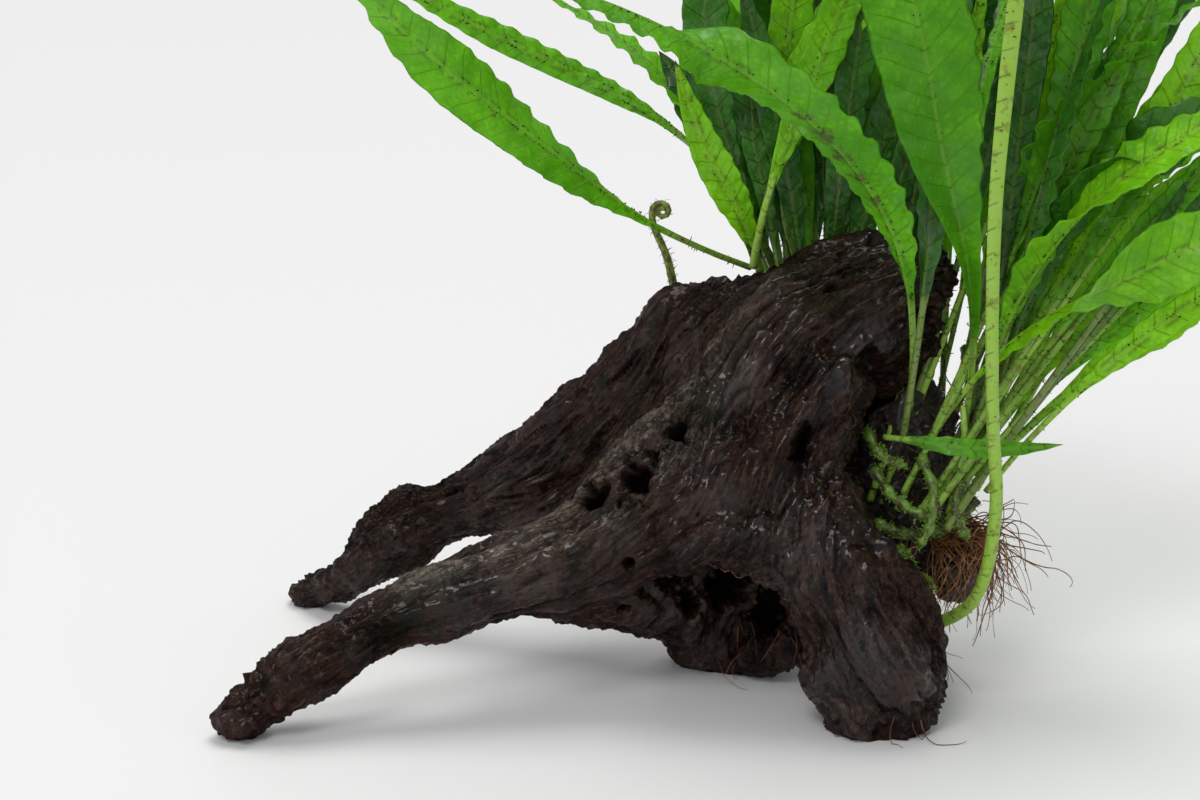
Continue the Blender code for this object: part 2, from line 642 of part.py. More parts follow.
def clump_fronds(clump):
    """The fronds of a clump, each rising from its place on the rhizome and bending outwards."""
    chance = random.Random(clump.seed)
    start, end = Vector(clump.start), Vector(clump.end)
    fronds = []
    for k in range(clump.count):
        share = (k + 0.5) / clump.count
        base = start.lerp(end, share) + Vector((0, chance.uniform(-2.5, 2.5), chance.uniform(-2, 2)))
        first, last = clump.heading
        heading = math.radians(first + (last - first) * share + chance.uniform(-14, 14))
        length = chance.uniform(*clump.length)
        lean = chance.uniform(*clump.lean)
        out = Vector((math.cos(heading), math.sin(heading), 0))
        route = []
        for step in range(7):
            t = step / 6
            bow = out * lean * length * (0.35 * t + 0.65 * t * t)
            rise = length * (t - 0.42 * lean * t ** 2.4)
            route.append(tuple(base + bow + Vector((0, 0, rise))))
        face = -out + Vector((chance.uniform(-0.5, 0.5), chance.uniform(-0.5, 0.5), 0.55))
        fronds.append(Frond(
            f"{clump.prefix}_{k + 1}", tuple(route), chance.uniform(*clump.width),
            chance.uniform(0.12, 0.3), tuple(face), 1.15,
            clump.colours[k % len(clump.colours)]))
    return fronds


def make_fronds(still):
    fronds = list(FRONDS)
    for clump in CLUMPS:
        fronds += clump_fronds(clump)
    still_trees = [tree_of(obj) for obj in still]
    grown_trees, made = [], []
    for frond in fronds:
        rings = grow_frond(frond, still_trees, grown_trees)
        if rings is None:
            continue
        grown_trees.append(rings_tree(rings))
        bm = bmesh.new()
        loft(bm, rings)
        bmesh.ops.triangulate(bm, faces=bm.faces)
        made.append(add_object(frond.name, mesh_from(bm, frond.name), frond.colour))
    return made


def centre_over_origin(objects):
    """Moves the whole model so that the bottom centre of its box is the origin."""
    corners = [v.co for obj in objects for v in obj.data.vertices]
    low = Vector(min(c[i] for c in corners) for i in range(3))
    high = Vector(max(c[i] for c in corners) for i in range(3))
    shift = Vector((-(low.x + high.x) / 2, -(low.y + high.y) / 2, -low.z))
    for obj in objects:
        obj.data.transform(Matrix.Translation(shift))
    print("shifted by", [round(v / MM, 2) for v in shift])


def main():
    clear_scene()
    wood = make_wood()
    wood_trees = [tree_of(obj) for obj in wood]
    stems = make_rhizomes(wood_trees) + [make_fiddlehead(), make_young_shoot()]
    lumps = [make_clump("root_clump", wood + stems)]
    lumps.append(make_clump("root_ball", wood + stems + lumps))
    fronds = make_fronds(wood + stems + lumps)
    centre_over_origin(wood + stems + lumps + fronds)


main()
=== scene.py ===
"""A java fern growing on a piece of driftwood: wood, fronds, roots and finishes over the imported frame.

Places written as plain numbers are in the millimetres that the fronds' and roots' routes are drawn in;
here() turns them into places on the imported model.
"""

import json
import logging
import math
import random
from dataclasses import dataclass, field
from enum import Enum
from functools import cache
from itertools import permutations
from typing import Iterable, Sequence

import bmesh
import bpy
import numpy as np
from mathutils import Matrix, Vector, noise
from mathutils.bvhtree import BVHTree


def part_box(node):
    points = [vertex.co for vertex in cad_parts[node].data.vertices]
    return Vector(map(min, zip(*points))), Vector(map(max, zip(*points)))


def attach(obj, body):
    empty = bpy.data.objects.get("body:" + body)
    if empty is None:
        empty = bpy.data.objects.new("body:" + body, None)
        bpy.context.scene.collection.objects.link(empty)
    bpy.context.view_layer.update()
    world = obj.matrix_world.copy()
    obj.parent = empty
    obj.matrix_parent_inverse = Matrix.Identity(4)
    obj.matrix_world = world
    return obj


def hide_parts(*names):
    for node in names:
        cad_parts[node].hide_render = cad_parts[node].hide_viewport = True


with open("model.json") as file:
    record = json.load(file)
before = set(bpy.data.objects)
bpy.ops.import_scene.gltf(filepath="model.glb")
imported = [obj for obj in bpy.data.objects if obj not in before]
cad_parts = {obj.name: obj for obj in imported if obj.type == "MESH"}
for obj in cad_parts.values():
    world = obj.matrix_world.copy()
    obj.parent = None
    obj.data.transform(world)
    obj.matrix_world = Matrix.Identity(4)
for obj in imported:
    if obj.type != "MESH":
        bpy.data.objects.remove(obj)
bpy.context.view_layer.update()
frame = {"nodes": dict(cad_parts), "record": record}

MM = 0.001
BODY = "root"
log = logging.getLogger("java_fern")


# ------------------------------------------------------------------ shader graphs


class Value:
    """A socket of a graph, on which Python's arithmetic adds Math nodes."""

    def __init__(self, graph: "Graph", socket: bpy.types.NodeSocket) -> None:
        """Keeps the socket and the graph that it is in."""
        self.graph = graph
        self.socket = socket

    def maths(self, operation: str, *values: "Value | float") -> "Value":
        """One Math node.

        Args:
            operation: Blender's name for it.
            values: its inputs, in order.

        Returns:
            Its result.
        """
        return self.graph.node("ShaderNodeMath", {"operation": operation}, dict(enumerate(values)))

    def __add__(self, other: "Value | float") -> "Value":
        """The sum."""
        return self.maths("ADD", self, other)

    def __sub__(self, other: "Value | float") -> "Value":
        """The difference."""
        return self.maths("SUBTRACT", self, other)

    def __rsub__(self, other: float) -> "Value":
        """The difference from a number."""
        return self.maths("SUBTRACT", other, self)

    def __mul__(self, other: "Value | float") -> "Value":
        """The product."""
        return self.maths("MULTIPLY", self, other)

    __radd__ = __add__
    __rmul__ = __mul__

    def size(self) -> "Value":
        """The value without its sign."""
        return self.maths("ABSOLUTE", self)

    def part(self) -> "Value":
        """What is left after whole numbers are taken away."""
        return self.maths("FRACT", self)

    def step(self, low: float, high: float) -> "Value":
        """A smooth rise from 0 at low to 1 at high, or a fall where low is the greater.

        Args:
            low: where it is 0.
            high: where it is 1.

        Returns:
            The eased share.
        """
        rising = low < high
        ends = (low, high, 0.0, 1.0) if rising else (high, low, 1.0, 0.0)
        return self.graph.node(
            "ShaderNodeMapRange", {"interpolation_type": "SMOOTHSTEP"},
            {0: self, 1: ends[0], 2: ends[1], 3: ends[2], 4: ends[3]})


class Graph:
    """The nodes of one material."""

    def __init__(self, name: str) -> None:
        """Makes an empty material of that name.

        Args:
            name: the material's name.
        """
        self.material = bpy.data.materials.new(name)
        self.material.use_nodes = True
        self.tree = self.material.node_tree
        self.tree.nodes.clear()

    def node(self, kind: str, settings: dict | None = None, sockets: dict | None = None,
             out: int | str = 0) -> Value:
        """Adds a node.

        Args:
            kind: Blender's type of node.
            settings: its properties.
            sockets: values or links of its inputs, by name or number.
            out: the output that is wanted.

        Returns:
            That output.
        """
        made = self.tree.nodes.new(kind)
        for key, setting in (settings or {}).items():
            setattr(made, key, setting)
        for key, value in (sockets or {}).items():
            if isinstance(value, Value):
                self.tree.links.new(value.socket, made.inputs[key])
            else:
                made.inputs[key].default_value = value
        return Value(self, made.outputs[out])

    def attribute(self, name: str, out: str = "Fac") -> Value:
        """A number or vector that the mesh carries under that name."""
        return self.node("ShaderNodeAttribute", {"attribute_name": name}, out=out)

    def axis(self, vector: Value, which: int) -> Value:
        """One number of a vector: 0, 1 or 2."""
        return self.node("ShaderNodeSeparateXYZ", None, {0: vector}, which)

    def place(self) -> Value:
        """Object coordinates, in metres."""
        return self.node("ShaderNodeTexCoord", out="Object")

    def blend(self, share: "Value | float", first: "Value | tuple", second: "Value | tuple") -> Value:
        """A mix of two colours.

        Args:
            share: how much of the second.
            first: a colour of three numbers, or a link.
            second: the other.

        Returns:
            The mixed colour.
        """
        ends = [v if isinstance(v, Value) else (*v, 1.0) for v in (first, second)]
        return self.node("ShaderNodeMix", {"data_type": "RGBA"},
                         {0: share, 6: ends[0], 7: ends[1]}, 2)

    def noise(self, scale: float, detail: float = 3.0, rough: float = 0.55, where: Value | None = None,
              warp: float = 0.0) -> Value:
        """Noise of that scale per metre, from 0 to 1.

        Args:
            scale: how fine it is.
            detail: how many finer layers it has.
            rough: how strong those are.
            where: its coordinates, Object ones unless others are given.
            warp: how much it is distorted.

        Returns:
            The noise.
        """
        return self.node("ShaderNodeTexNoise", None, {
            "Vector": where or self.place(), "Scale": scale, "Detail": detail, "Roughness": rough,
            "Distortion": warp})

    def stretch(self, factors: Sequence[float], where: Value) -> Value:
        """Coordinates scaled along each axis."""
        return self.node("ShaderNodeMapping", None, {0: where, 3: tuple(factors)})

    def relief(self, height: Value, depth: float, under: Value | None = None,
               strength: float = 1.0) -> Value:
        """A Bump node over another.

        Args:
            height: the height, about 0 to 1.
            depth: what 1 stands for, in metres.
            under: the normal below it.
            strength: how much of it shows.

        Returns:
            The bent normal.
        """
        sockets = {"Height": height, "Distance": depth, "Strength": strength}
        if under is not None:
            sockets["Normal"] = under
        return self.node("ShaderNodeBump", None, sockets)

    def surface(self, sockets: dict) -> Value:
        """A Principled shader with those sockets."""
        return self.node("ShaderNodeBsdfPrincipled", None, sockets)

    def finish(self, shader: Value) -> bpy.types.Material:
        """Ends the graph in that shader and returns the material.

        Args:
            shader: the last shader.

        Returns:
            The finished material.
        """
        end = self.tree.nodes.new("ShaderNodeOutputMaterial")
        self.tree.links.new(shader.socket, end.inputs[0])
        return self.material


# ------------------------------------------------------------------ finishes


@dataclass(frozen=True)
class WetWood:
    """Waterlogged root wood: nearly black, fibrous and glistening."""

    coat_roughness: float = 0.14
    coat_ior: float = 1.40
    dull: float = 0.05  # the specular level under the water film
    dark: tuple = (0.0022, 0.0012, 0.0009)
    brown: tuple = (0.058, 0.0260, 0.0160)
    # pale fibre tips that double as painted glints
    pale_tip_glint: tuple = (0.150, 0.094, 0.074)
    red: tuple = (0.068, 0.0235, 0.0120)
    pale: tuple = (0.290, 0.232, 0.178)
    olive: tuple = (0.042, 0.038, 0.013)
    mossy: tuple = (0.0050, 0.0110, 0.0045)

    @cache
    def material(self) -> bpy.types.Material:
        """Its nodes, which read the grain coordinates and the fields of the skin.

        Returns:
            The material, made once.
        """
        g = Graph("driftwood_wet")
        grain = g.attribute("grain", "Vector")
        groove_shade, pale, warm = g.attribute("groove_shade"), g.attribute("pale"), g.attribute("warm")
        green, wet = g.attribute("green"), g.attribute("wet")
        thread = g.noise(1.0, 4, 0.65, g.stretch((0.13, 0.95, 0.95), grain), 0.3)
        fibre = g.noise(1.0, 3, 0.65, g.stretch((0.34, 2.6, 2.6), grain), 0.2)
        strand = g.noise(1.0, 3, 0.6, g.stretch((0.034, 0.36, 0.36), grain))
        mottle = g.noise(85, 4, 0.62)
        crumb = g.noise(760, 4, 0.75)
        ridge = (strand - 0.5).size() * 2.0
        # crack: thin dark lines along the grain, painted shade in the fine cracks, also used as a relief
        # below
        crack = (thread - 0.5).size().step(0.035, 0.0) + (fibre - 0.48).size().step(0.030, 0.0) * 0.6
        tone = thread * 0.65 + fibre * 0.35 + strand * 0.4 + mottle * 0.35 + crumb * 0.55 - 0.65
        colour = g.blend(tone.step(0.41, 0.58), self.dark, self.brown)
        # painted glints: pale fibre tips in patches stand in for the wet wood's highlights
        glint_tips = (thread * 0.6 + crumb * 0.7 - 0.15).step(0.52, 0.66) * mottle.step(0.34, 0.60)
        colour = g.blend(glint_tips * 0.7, colour, self.pale_tip_glint)
        colour = g.blend(warm * g.noise(110, 3).step(0.38, 0.62) * 0.85, colour, self.red)
        colour = g.blend(green * g.noise(130, 4).step(0.36, 0.60) * 0.85, colour, self.olive)
        colour = g.blend(g.attribute("mossy") * mottle.step(0.36, 0.60) * 0.9, colour, self.mossy)
        # pale worn crests, partly painted light: paler still on faces that look up, never in the furrows
        worn = pale * (thread * 0.9 + fibre * 0.3 + strand * 0.4 + crumb * 0.3 - 0.2).step(0.52, 0.92)
        colour = g.blend(worn * 0.9, colour, self.pale)
        # painted shade: the furrows, the fine cracks and the deeper pits are darkened towards black
        colour = g.blend(groove_shade.maths("MAXIMUM", groove_shade, crack * 0.75), colour, self.dark)
        gloss = g.noise(45, 3, 0.6).step(0.30, 0.62) * 0.7 + 0.3
        rough = 0.62 - wet * gloss * 0.2 + groove_shade * 0.3
        normal = None
        for height, depth, strength in ((ridge, 0.0009, 0.8), (thread, 0.0011, 0.9), (fibre, 0.0007, 0.9),
                                        (1.0 - crack, 0.0003, 0.8), (crumb, 0.0015, 1.0)):
            normal = g.relief(height, depth, normal, strength)
        return g.finish(g.surface({
            "Base Color": colour, "Roughness": rough, "Normal": normal,
            "Coat Weight": (wet * gloss * 1.1) * (1.0 - groove_shade * 0.9),
            "Coat Roughness": self.coat_roughness, "Coat IOR": self.coat_ior,
            "Specular IOR Level": self.dull}))


class Leaf(Enum):
    """How light a frond's blade is."""

    BRIGHT = "leaf_bright"
    GREEN = "leaf_green"
    DARK = "leaf_dark"


@dataclass(frozen=True)
class Blade:
    """Leathery netted blade over a pale rib, and the stalk that it tapers into."""

    name: str
    deep: tuple
    light: tuple
    glow: tuple
    stalk: tuple = (0.29, 0.50, 0.060)
    through: float = 0.38  # how much of the light goes through
    shine: float = 0.3
    dotted: tuple = (0.062, 0.034, 0.010)
    rusty: tuple = (0.120, 0.080, 0.016)
    banded: tuple = (0.15, 0.085, 0.018)
    spotted: tuple = (0.075, 0.060, 0.012)
    bruised: tuple = (0.055, 0.030, 0.018)
    burnt: tuple = (0.045, 0.022, 0.008)

    @cache
    def material(self) -> bpy.types.Material:
        """Its nodes, which read where on the frond a point is.

        Returns:
            The material, made once.
        """
        g = Graph(self.name)
        at, life = g.attribute("blade", "Vector"), g.attribute("life", "Vector")
        along, across, share = (g.axis(at, k) for k in range(3))
        age, is_blade, luck = (g.axis(life, k) for k in range(3))
        wobble = g.noise(55, 2)
        run = along - across.size() * 0.75 + wobble * 0.22
        vein = (run * 1.6).part()
        side_vein = (vein - 0.5).size().step(0.45, 0.5) * share.step(1.0, 0.7)
        flat = g.node("ShaderNodeCombineXYZ", None, {0: along, 1: across * 1.3, 2: luck * 40.0})
        net = g.node("ShaderNodeTexVoronoi", {"feature": "DISTANCE_TO_EDGE"},
                     {"Vector": flat, "Scale": 4.3, "Randomness": 0.9}, "Distance")
        web = net.step(0.12, 0.0)
        puff = net.step(0.0, 0.40)
        rib = across.size().step(0.058, 0.022)
        freckle = g.noise(330, 3).step(0.52, 0.68)
        mottle = g.noise(150, 3, 0.6)
        patch = g.noise(34, 2)
        tone = mottle * 0.95 + patch * 0.9 + puff * 0.14 + luck * 0.35 - 0.68
        darker = tuple(0.55 * c for c in self.deep)
        colour = g.blend(tone.step(0.1, 0.9), self.deep, self.light)
        colour = g.blend(web * 0.12, colour, darker)
        colour = g.blend(side_vein * 0.6, colour, self.light)
        shadow = (vein - 0.42).size().step(0.06, 0.0) * share.step(1.0, 0.6)
        colour = g.blend(shadow * is_blade * 0.32, colour, darker)
        beside = across.size().step(0.20, 0.10) * across.size().step(0.03, 0.08)
        dots = g.noise(420, 2).step(0.47, 0.55)
        colour = g.blend(beside * dots * 0.55 * luck.step(-0.2, 0.6), colour, self.dotted)
        colour = g.blend(rib * 0.5, colour, self.stalk)
        colour = g.blend(rib * freckle * 0.6, colour, self.rusty)
        stalk = g.blend(freckle * 0.55, self.stalk, self.banded)
        colour = g.blend(is_blade.step(0.45, 0.05), colour, stalk)
        bruise = (g.attribute("bruise") * 0.95 + g.noise(300, 4, 0.75) * 2.2 - 1.25).step(0.40, 0.95)
        spots = g.noise(70, 4, 0.65).step(0.70, 0.75) * luck.step(0.35, 0.7)
        burnt = (age + mottle * 0.05).step(0.985, 1.02)
        colour = g.blend(spots * is_blade * 0.6, colour, self.spotted)
        colour = g.blend(bruise * 0.85, colour, self.bruised)
        colour = g.blend(burnt, colour, self.burnt)
        fine = g.noise(1500, 2)
        normal = None
        for height, depth, strength in ((puff, 0.00017, 0.8), (side_vein, 0.00048, 0.9),
                                        (fine, 0.0001, 0.6)):
            normal = g.relief(height, depth, normal, strength)
        top = g.surface({
            "Base Color": colour, "Roughness": 0.34 + mottle * 0.2, "Normal": normal,
            "Specular IOR Level": self.shine,
            "Coat Weight": g.noise(120, 3).step(0.46, 0.62) * self.shine * 1.5, "Coat Roughness": 0.14})
        back = g.node("ShaderNodeBsdfTranslucent", None, {"Color": (*self.glow, 1.0)})
        mixed = g.node("ShaderNodeMixShader", None,
                       {0: is_blade * self.through * (1.0 - bruise * 0.7), 1: top, 2: back})
        return g.finish(mixed)


BLADES = {
    Leaf.BRIGHT: Blade("blade_bright", (0.110, 0.400, 0.006), (0.320, 0.780, 0.016), (0.72, 1.0, 0.05)),
    Leaf.GREEN: Blade("blade_green", (0.055, 0.250, 0.005), (0.190, 0.570, 0.012), (0.52, 0.95, 0.04),
                      (0.21, 0.38, 0.045)),
    Leaf.DARK: Blade("blade_dark", (0.012, 0.075, 0.005), (0.052, 0.230, 0.010), (0.22, 0.60, 0.02),
                     (0.13, 0.21, 0.030), 0.26, 0.45),
}


@dataclass(frozen=True)
class Skin:
    """A mottled skin of two colours with a rough relief."""

    name: str
    first: tuple
    second: tuple
    roughness: float = 0.5
    scale: float = 400.0
    depth: float = 0.0002
    coat: float = 0.0
    patch: tuple = (0.42, 0.62)

    @cache
    def material(self) -> bpy.types.Material:
        """Its nodes.

        Returns:
            The material, made once.
        """
        g = Graph(self.name)
        mottle = g.noise(self.scale, 4, 0.62)
        colour = g.blend(mottle.step(*self.patch), self.first, self.second)
        normal = g.relief(g.noise(self.scale * 2.6, 3, 0.6), self.depth)
        return g.finish(g.surface({
            "Base Color": colour, "Roughness": self.roughness, "Normal": normal,
            "Coat Weight": self.coat, "Coat Roughness": 0.2}))


RHIZOME = Skin("rhizome_skin", (0.055, 0.050, 0.012), (0.15, 0.30, 0.030), 0.46, 260, 0.0004, 0.2)
YOUNG = Skin("young_stem", (0.17, 0.30, 0.035), (0.36, 0.55, 0.09), 0.42, 300, 0.0001, 0.2)
CURL = Skin("fiddlehead_skin", (0.10, 0.09, 0.02), (0.22, 0.36, 0.05), 0.5, 500, 0.0002)
MOSS = Skin("moss_green", (0.10, 0.24, 0.015), (0.30, 0.52, 0.045), 0.6, 900, 0.0001)
PEAT = Skin("peat_dark", (0.004, 0.0026, 0.0018), (0.036, 0.019, 0.010), 0.55, 700, 0.0012, 0.5)
WIRE_ROOT = Skin("wiry_root", (0.13, 0.046, 0.012), (0.34, 0.155, 0.050), 0.5, 350, 0.0001)
DARK_ROOT = Skin("dark_root", (0.018, 0.008, 0.005), (0.075, 0.030, 0.014), 0.55, 350, 0.0001)
HAIR_ROOT = Skin("hair_root", (0.065, 0.024, 0.009), (0.20, 0.085, 0.030), 0.5, 350, 0.0001)
ROOTLET = Skin("rootlet_dark", (0.010, 0.005, 0.003), (0.050, 0.020, 0.009), 0.6, 900, 0.00005)


# ------------------------------------------------------------------ mesh helpers


def adopt(thing: bpy.types.Object, finish: bpy.types.Material, slot: str,
          nodes: Iterable[str] = ()) -> bpy.types.Object:
    """Makes an object a piece of the plant.

    Args:
        thing: the object, in place.
        finish: its material.
        slot: the record's material slot; not used.
        nodes: the solids that it stands for.

    Returns:
        The same object.
    """
    thing.data.materials.clear()
    thing.data.materials.append(finish)
    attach(thing, BODY)
    nodes = list(nodes)
    if nodes:
        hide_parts(*nodes)
    count = sum(len(p.vertices) - 2 for p in thing.data.polygons)
    log.info("%s: %d triangles", thing.name, count)
    return thing


def shown(name: str, bm: bmesh.types.BMesh) -> bpy.types.Object:
    """A smooth object of that name, from a bmesh that is then freed.

    Args:
        name: the object's name.
        bm: its shape.

    Returns:
        The object, in the scene.
    """
    mesh = bpy.data.meshes.new(name)
    bm.to_mesh(mesh)
    bm.free()
    mesh.shade_smooth()
    thing = bpy.data.objects.new(name, mesh)
    bpy.context.scene.collection.objects.link(thing)
    return thing


def merged_copy(nodes: Iterable[str], grow: float = 0.0) -> bmesh.types.BMesh:
    """Copies of solids in one bmesh, their doubles merged.

    Args:
        nodes: which solids.
        grow: how far each copy's surface is moved out first.

    Returns:
        The bmesh.
    """
    bm = bmesh.new()
    for node in nodes:
        one = bmesh.new()
        one.from_mesh(frame["nodes"][node].data)
        bmesh.ops.remove_doubles(one, verts=one.verts, dist=1e-6)
        one.normal_update()
        for vert in one.verts:
            vert.co += vert.normal * grow
        mesh = bpy.data.meshes.new("copy")
        one.to_mesh(mesh)
        one.free()
        bm.from_mesh(mesh)
        bpy.data.meshes.remove(mesh)
    return bm


def regrown(name: str, bm: bmesh.types.BMesh, voxel: float, rounds: int) -> bpy.types.Object:
    """One even skin over everything in a bmesh.

    Args:
        name: the new object's name.
        bm: the closed shapes, which are freed.
        voxel: the size of its faces.
        rounds: how often it is smoothed.

    Returns:
        The skin, with its modifiers applied.
    """
    rough = shown(name + "_shape", bm)
    even = rough.modifiers.new("even", "REMESH")
    even.mode, even.voxel_size = "VOXEL", voxel
    soft = rough.modifiers.new("soft", "SMOOTH")
    soft.factor, soft.iterations = 0.5, rounds
    skin = bmesh.new()
    skin.from_object(rough, bpy.context.evaluated_depsgraph_get())
    bpy.data.objects.remove(rough)
    return shown(name, skin)


def positions(mesh: bpy.types.Mesh) -> np.ndarray:
    """The vertices of a mesh as rows of three numbers.

    Args:
        mesh: the mesh.

    Returns:
        One row for each vertex.
    """
    rows = np.empty(len(mesh.vertices) * 3, np.float32)
    mesh.vertices.foreach_get("co", rows)
    return rows.reshape(-1, 3).astype(float)


def outward(mesh: bpy.types.Mesh) -> np.ndarray:
    """The normals at the vertices of a mesh as rows of three numbers.

    Args:
        mesh: the mesh.

    Returns:
        One row for each vertex.
    """
    rows = np.empty(len(mesh.vertices) * 3, np.float32)
    mesh.vertex_normals.foreach_get("vector", rows)
    return rows.reshape(-1, 3).astype(float)


def put(mesh: bpy.types.Mesh, rows: np.ndarray) -> None:
    """Moves the vertices of a mesh to those rows."""
    mesh.vertices.foreach_set("co", rows.astype(np.float32).ravel())
    mesh.update()


def note(mesh: bpy.types.Mesh, name: str, values: np.ndarray) -> None:
    """Stores one number, or three, for each vertex, under a name that materials read.

    Args:
        mesh: the mesh.
        name: the attribute's name.
        values: a number or a row for each vertex.
    """
    flat = values.ndim == 1
    field_ = mesh.attributes.new(name, "FLOAT" if flat else "FLOAT_VECTOR", "POINT")
    field_.data.foreach_set("value" if flat else "vector", values.astype(np.float32).ravel())


def strings(name: str, runs: Sequence[tuple[Sequence[Vector], Sequence[float]]],
            sides: int = 4) -> bpy.types.Object:
    """Many thin tapering strings in one mesh.

    Args:
        name: the object's name.
        runs: the points and radii of each string.
        sides: how many sides a string has: 4 or 8.

    Returns:
        The object, with closed ends.
    """
    curve = bpy.data.curves.new(name, "CURVE")
    curve.dimensions = "3D"
    curve.bevel_depth = 1.0
    curve.bevel_resolution = 0 if sides == 4 else 2
    curve.use_fill_caps = True
    for points, radii in runs:
        spline = curve.splines.new("POLY")
        spline.points.add(len(points) - 1)
        for slot, point, radius in zip(spline.points, points, radii):
            slot.co = (*point, 1.0)
            slot.radius = radius
    wire = bpy.data.objects.new(name + "_line", curve)
    bpy.context.scene.collection.objects.link(wire)
    mesh = bpy.data.meshes.new_from_object(wire.evaluated_get(bpy.context.evaluated_depsgraph_get()))
    bpy.data.objects.remove(wire)
    bm = bmesh.new()
    bm.from_mesh(mesh)
    bpy.data.meshes.remove(mesh)
    bmesh.ops.remove_doubles(bm, verts=bm.verts, dist=1e-7)
    bmesh.ops.recalc_face_normals(bm, faces=bm.faces)
    return shown(name, bm)


def curved(points: Sequence[Sequence[float]], count: int) -> np.ndarray:
    """Evenly counted rows on a smooth curve through the given rows, of any width.

    Args:
        points: the rows that it passes through.
        count: how many rows are wanted.

    Returns:
        That many rows.
    """
    rows = np.asarray(points, float)
    padded = np.vstack([2 * rows[0] - rows[1], rows, 2 * rows[-1] - rows[-2]])
    place = np.linspace(0, len(rows) - 1, count)
    i = np.minimum(place.astype(int), len(rows) - 2)
    t = (place - i)[:, None]
    a, b, c, d = (padded[i + k] for k in range(4))
    return 0.5 * (2 * b + (c - a) * t + (2 * a - 5 * b + 4 * c - d) * t ** 2
                  + (3 * b - a - 3 * c + d) * t ** 3)


def unit(rows: np.ndarray) -> np.ndarray:
    """Rows scaled to length one."""
    return rows / np.maximum(np.linalg.norm(rows, axis=-1, keepdims=True), 1e-12)


def ease(values: np.ndarray, low: float, high: float) -> np.ndarray:
    """A smooth rise from 0 at low to 1 at high, or a fall where low is the greater."""
    t = np.clip((values - low) / (high - low), 0, 1)
    return t * t * (3 - 2 * t)


def pairs_of(mesh: bpy.types.Mesh) -> np.ndarray:
    """The edges of a mesh, as rows of two vertices.

    Args:
        mesh: the mesh.

    Returns:
        One row for each edge.
    """
    edges = np.empty(len(mesh.edges) * 2, np.int32)
    mesh.edges.foreach_get("vertices", edges)
    return edges.reshape(-1, 2)


def nearest_on(places: np.ndarray, a: np.ndarray, b: np.ndarray) -> np.ndarray:
    """The nearest point to each place on the line from a to b."""
    run = b - a
    return a + np.clip((places - a) @ run / (run @ run), 0, 1)[:, None] * run


def billow(rows: np.ndarray, scale: Sequence[float], seed: float, octaves: int) -> np.ndarray:
    """Smooth noise at scaled rows, about 0 and with a spread of one.

    Args:
        rows: coordinates, three numbers each.
        scale: how many waves there are for each unit, on each axis.
        seed: which noise.
        octaves: how many finer layers.

    Returns:
        A number for each row.
    """
    scaled = rows * np.array(scale) + seed * 3.7
    values = np.array([noise.fractal(Vector(row), 0.9, 2.0, octaves) for row in scaled])
    return (values - values.mean()) / values.std()


def loosened(values: np.ndarray, edges: np.ndarray, times: int) -> np.ndarray:
    """Values evened out between neighbours, then brought back to a spread of one.

    Args:
        values: a number for each vertex.
        edges: pairs of vertices.
        times: how often it is done.

    Returns:
        The evened numbers.
    """
    degree = np.bincount(edges.ravel(), minlength=len(values))
    for _ in range(times):
        total = np.bincount(edges[:, 0], values[edges[:, 1]], len(values))
        total += np.bincount(edges[:, 1], values[edges[:, 0]], len(values))
        values = 0.5 * values + 0.5 * total / degree
    return values / values.std()


WOOD_CORNER = Vector((-15.85, -39.34, 37.15))  # the crown's lowest corner, in the routes' millimetres


def here(point: Sequence[float]) -> Vector:
    """A point written in the routes' millimetres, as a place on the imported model."""
    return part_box("wood_crown")[0] + (Vector(point) - WOOD_CORNER) * MM


# ------------------------------------------------------------------ driftwood


@dataclass(frozen=True)
class Pit:
    """A hole or dent in the wood: its place in millimetres, radius, depth and how long it is."""

    place: tuple
    radius: float
    depth: float
    long: float = 1.4


@dataclass(frozen=True)
class Seam:
    """A ridge or a furrow that runs along the wood: its course, rise and half width in millimetres."""

    course: tuple
    rise: float
    width: float
    worn: float = 0.0  # how pale its crest is rubbed


@dataclass(frozen=True)
class Patch:
    """A round area of the wood that a field is raised in: its middle and radius in millimetres."""

    place: tuple
    radius: float


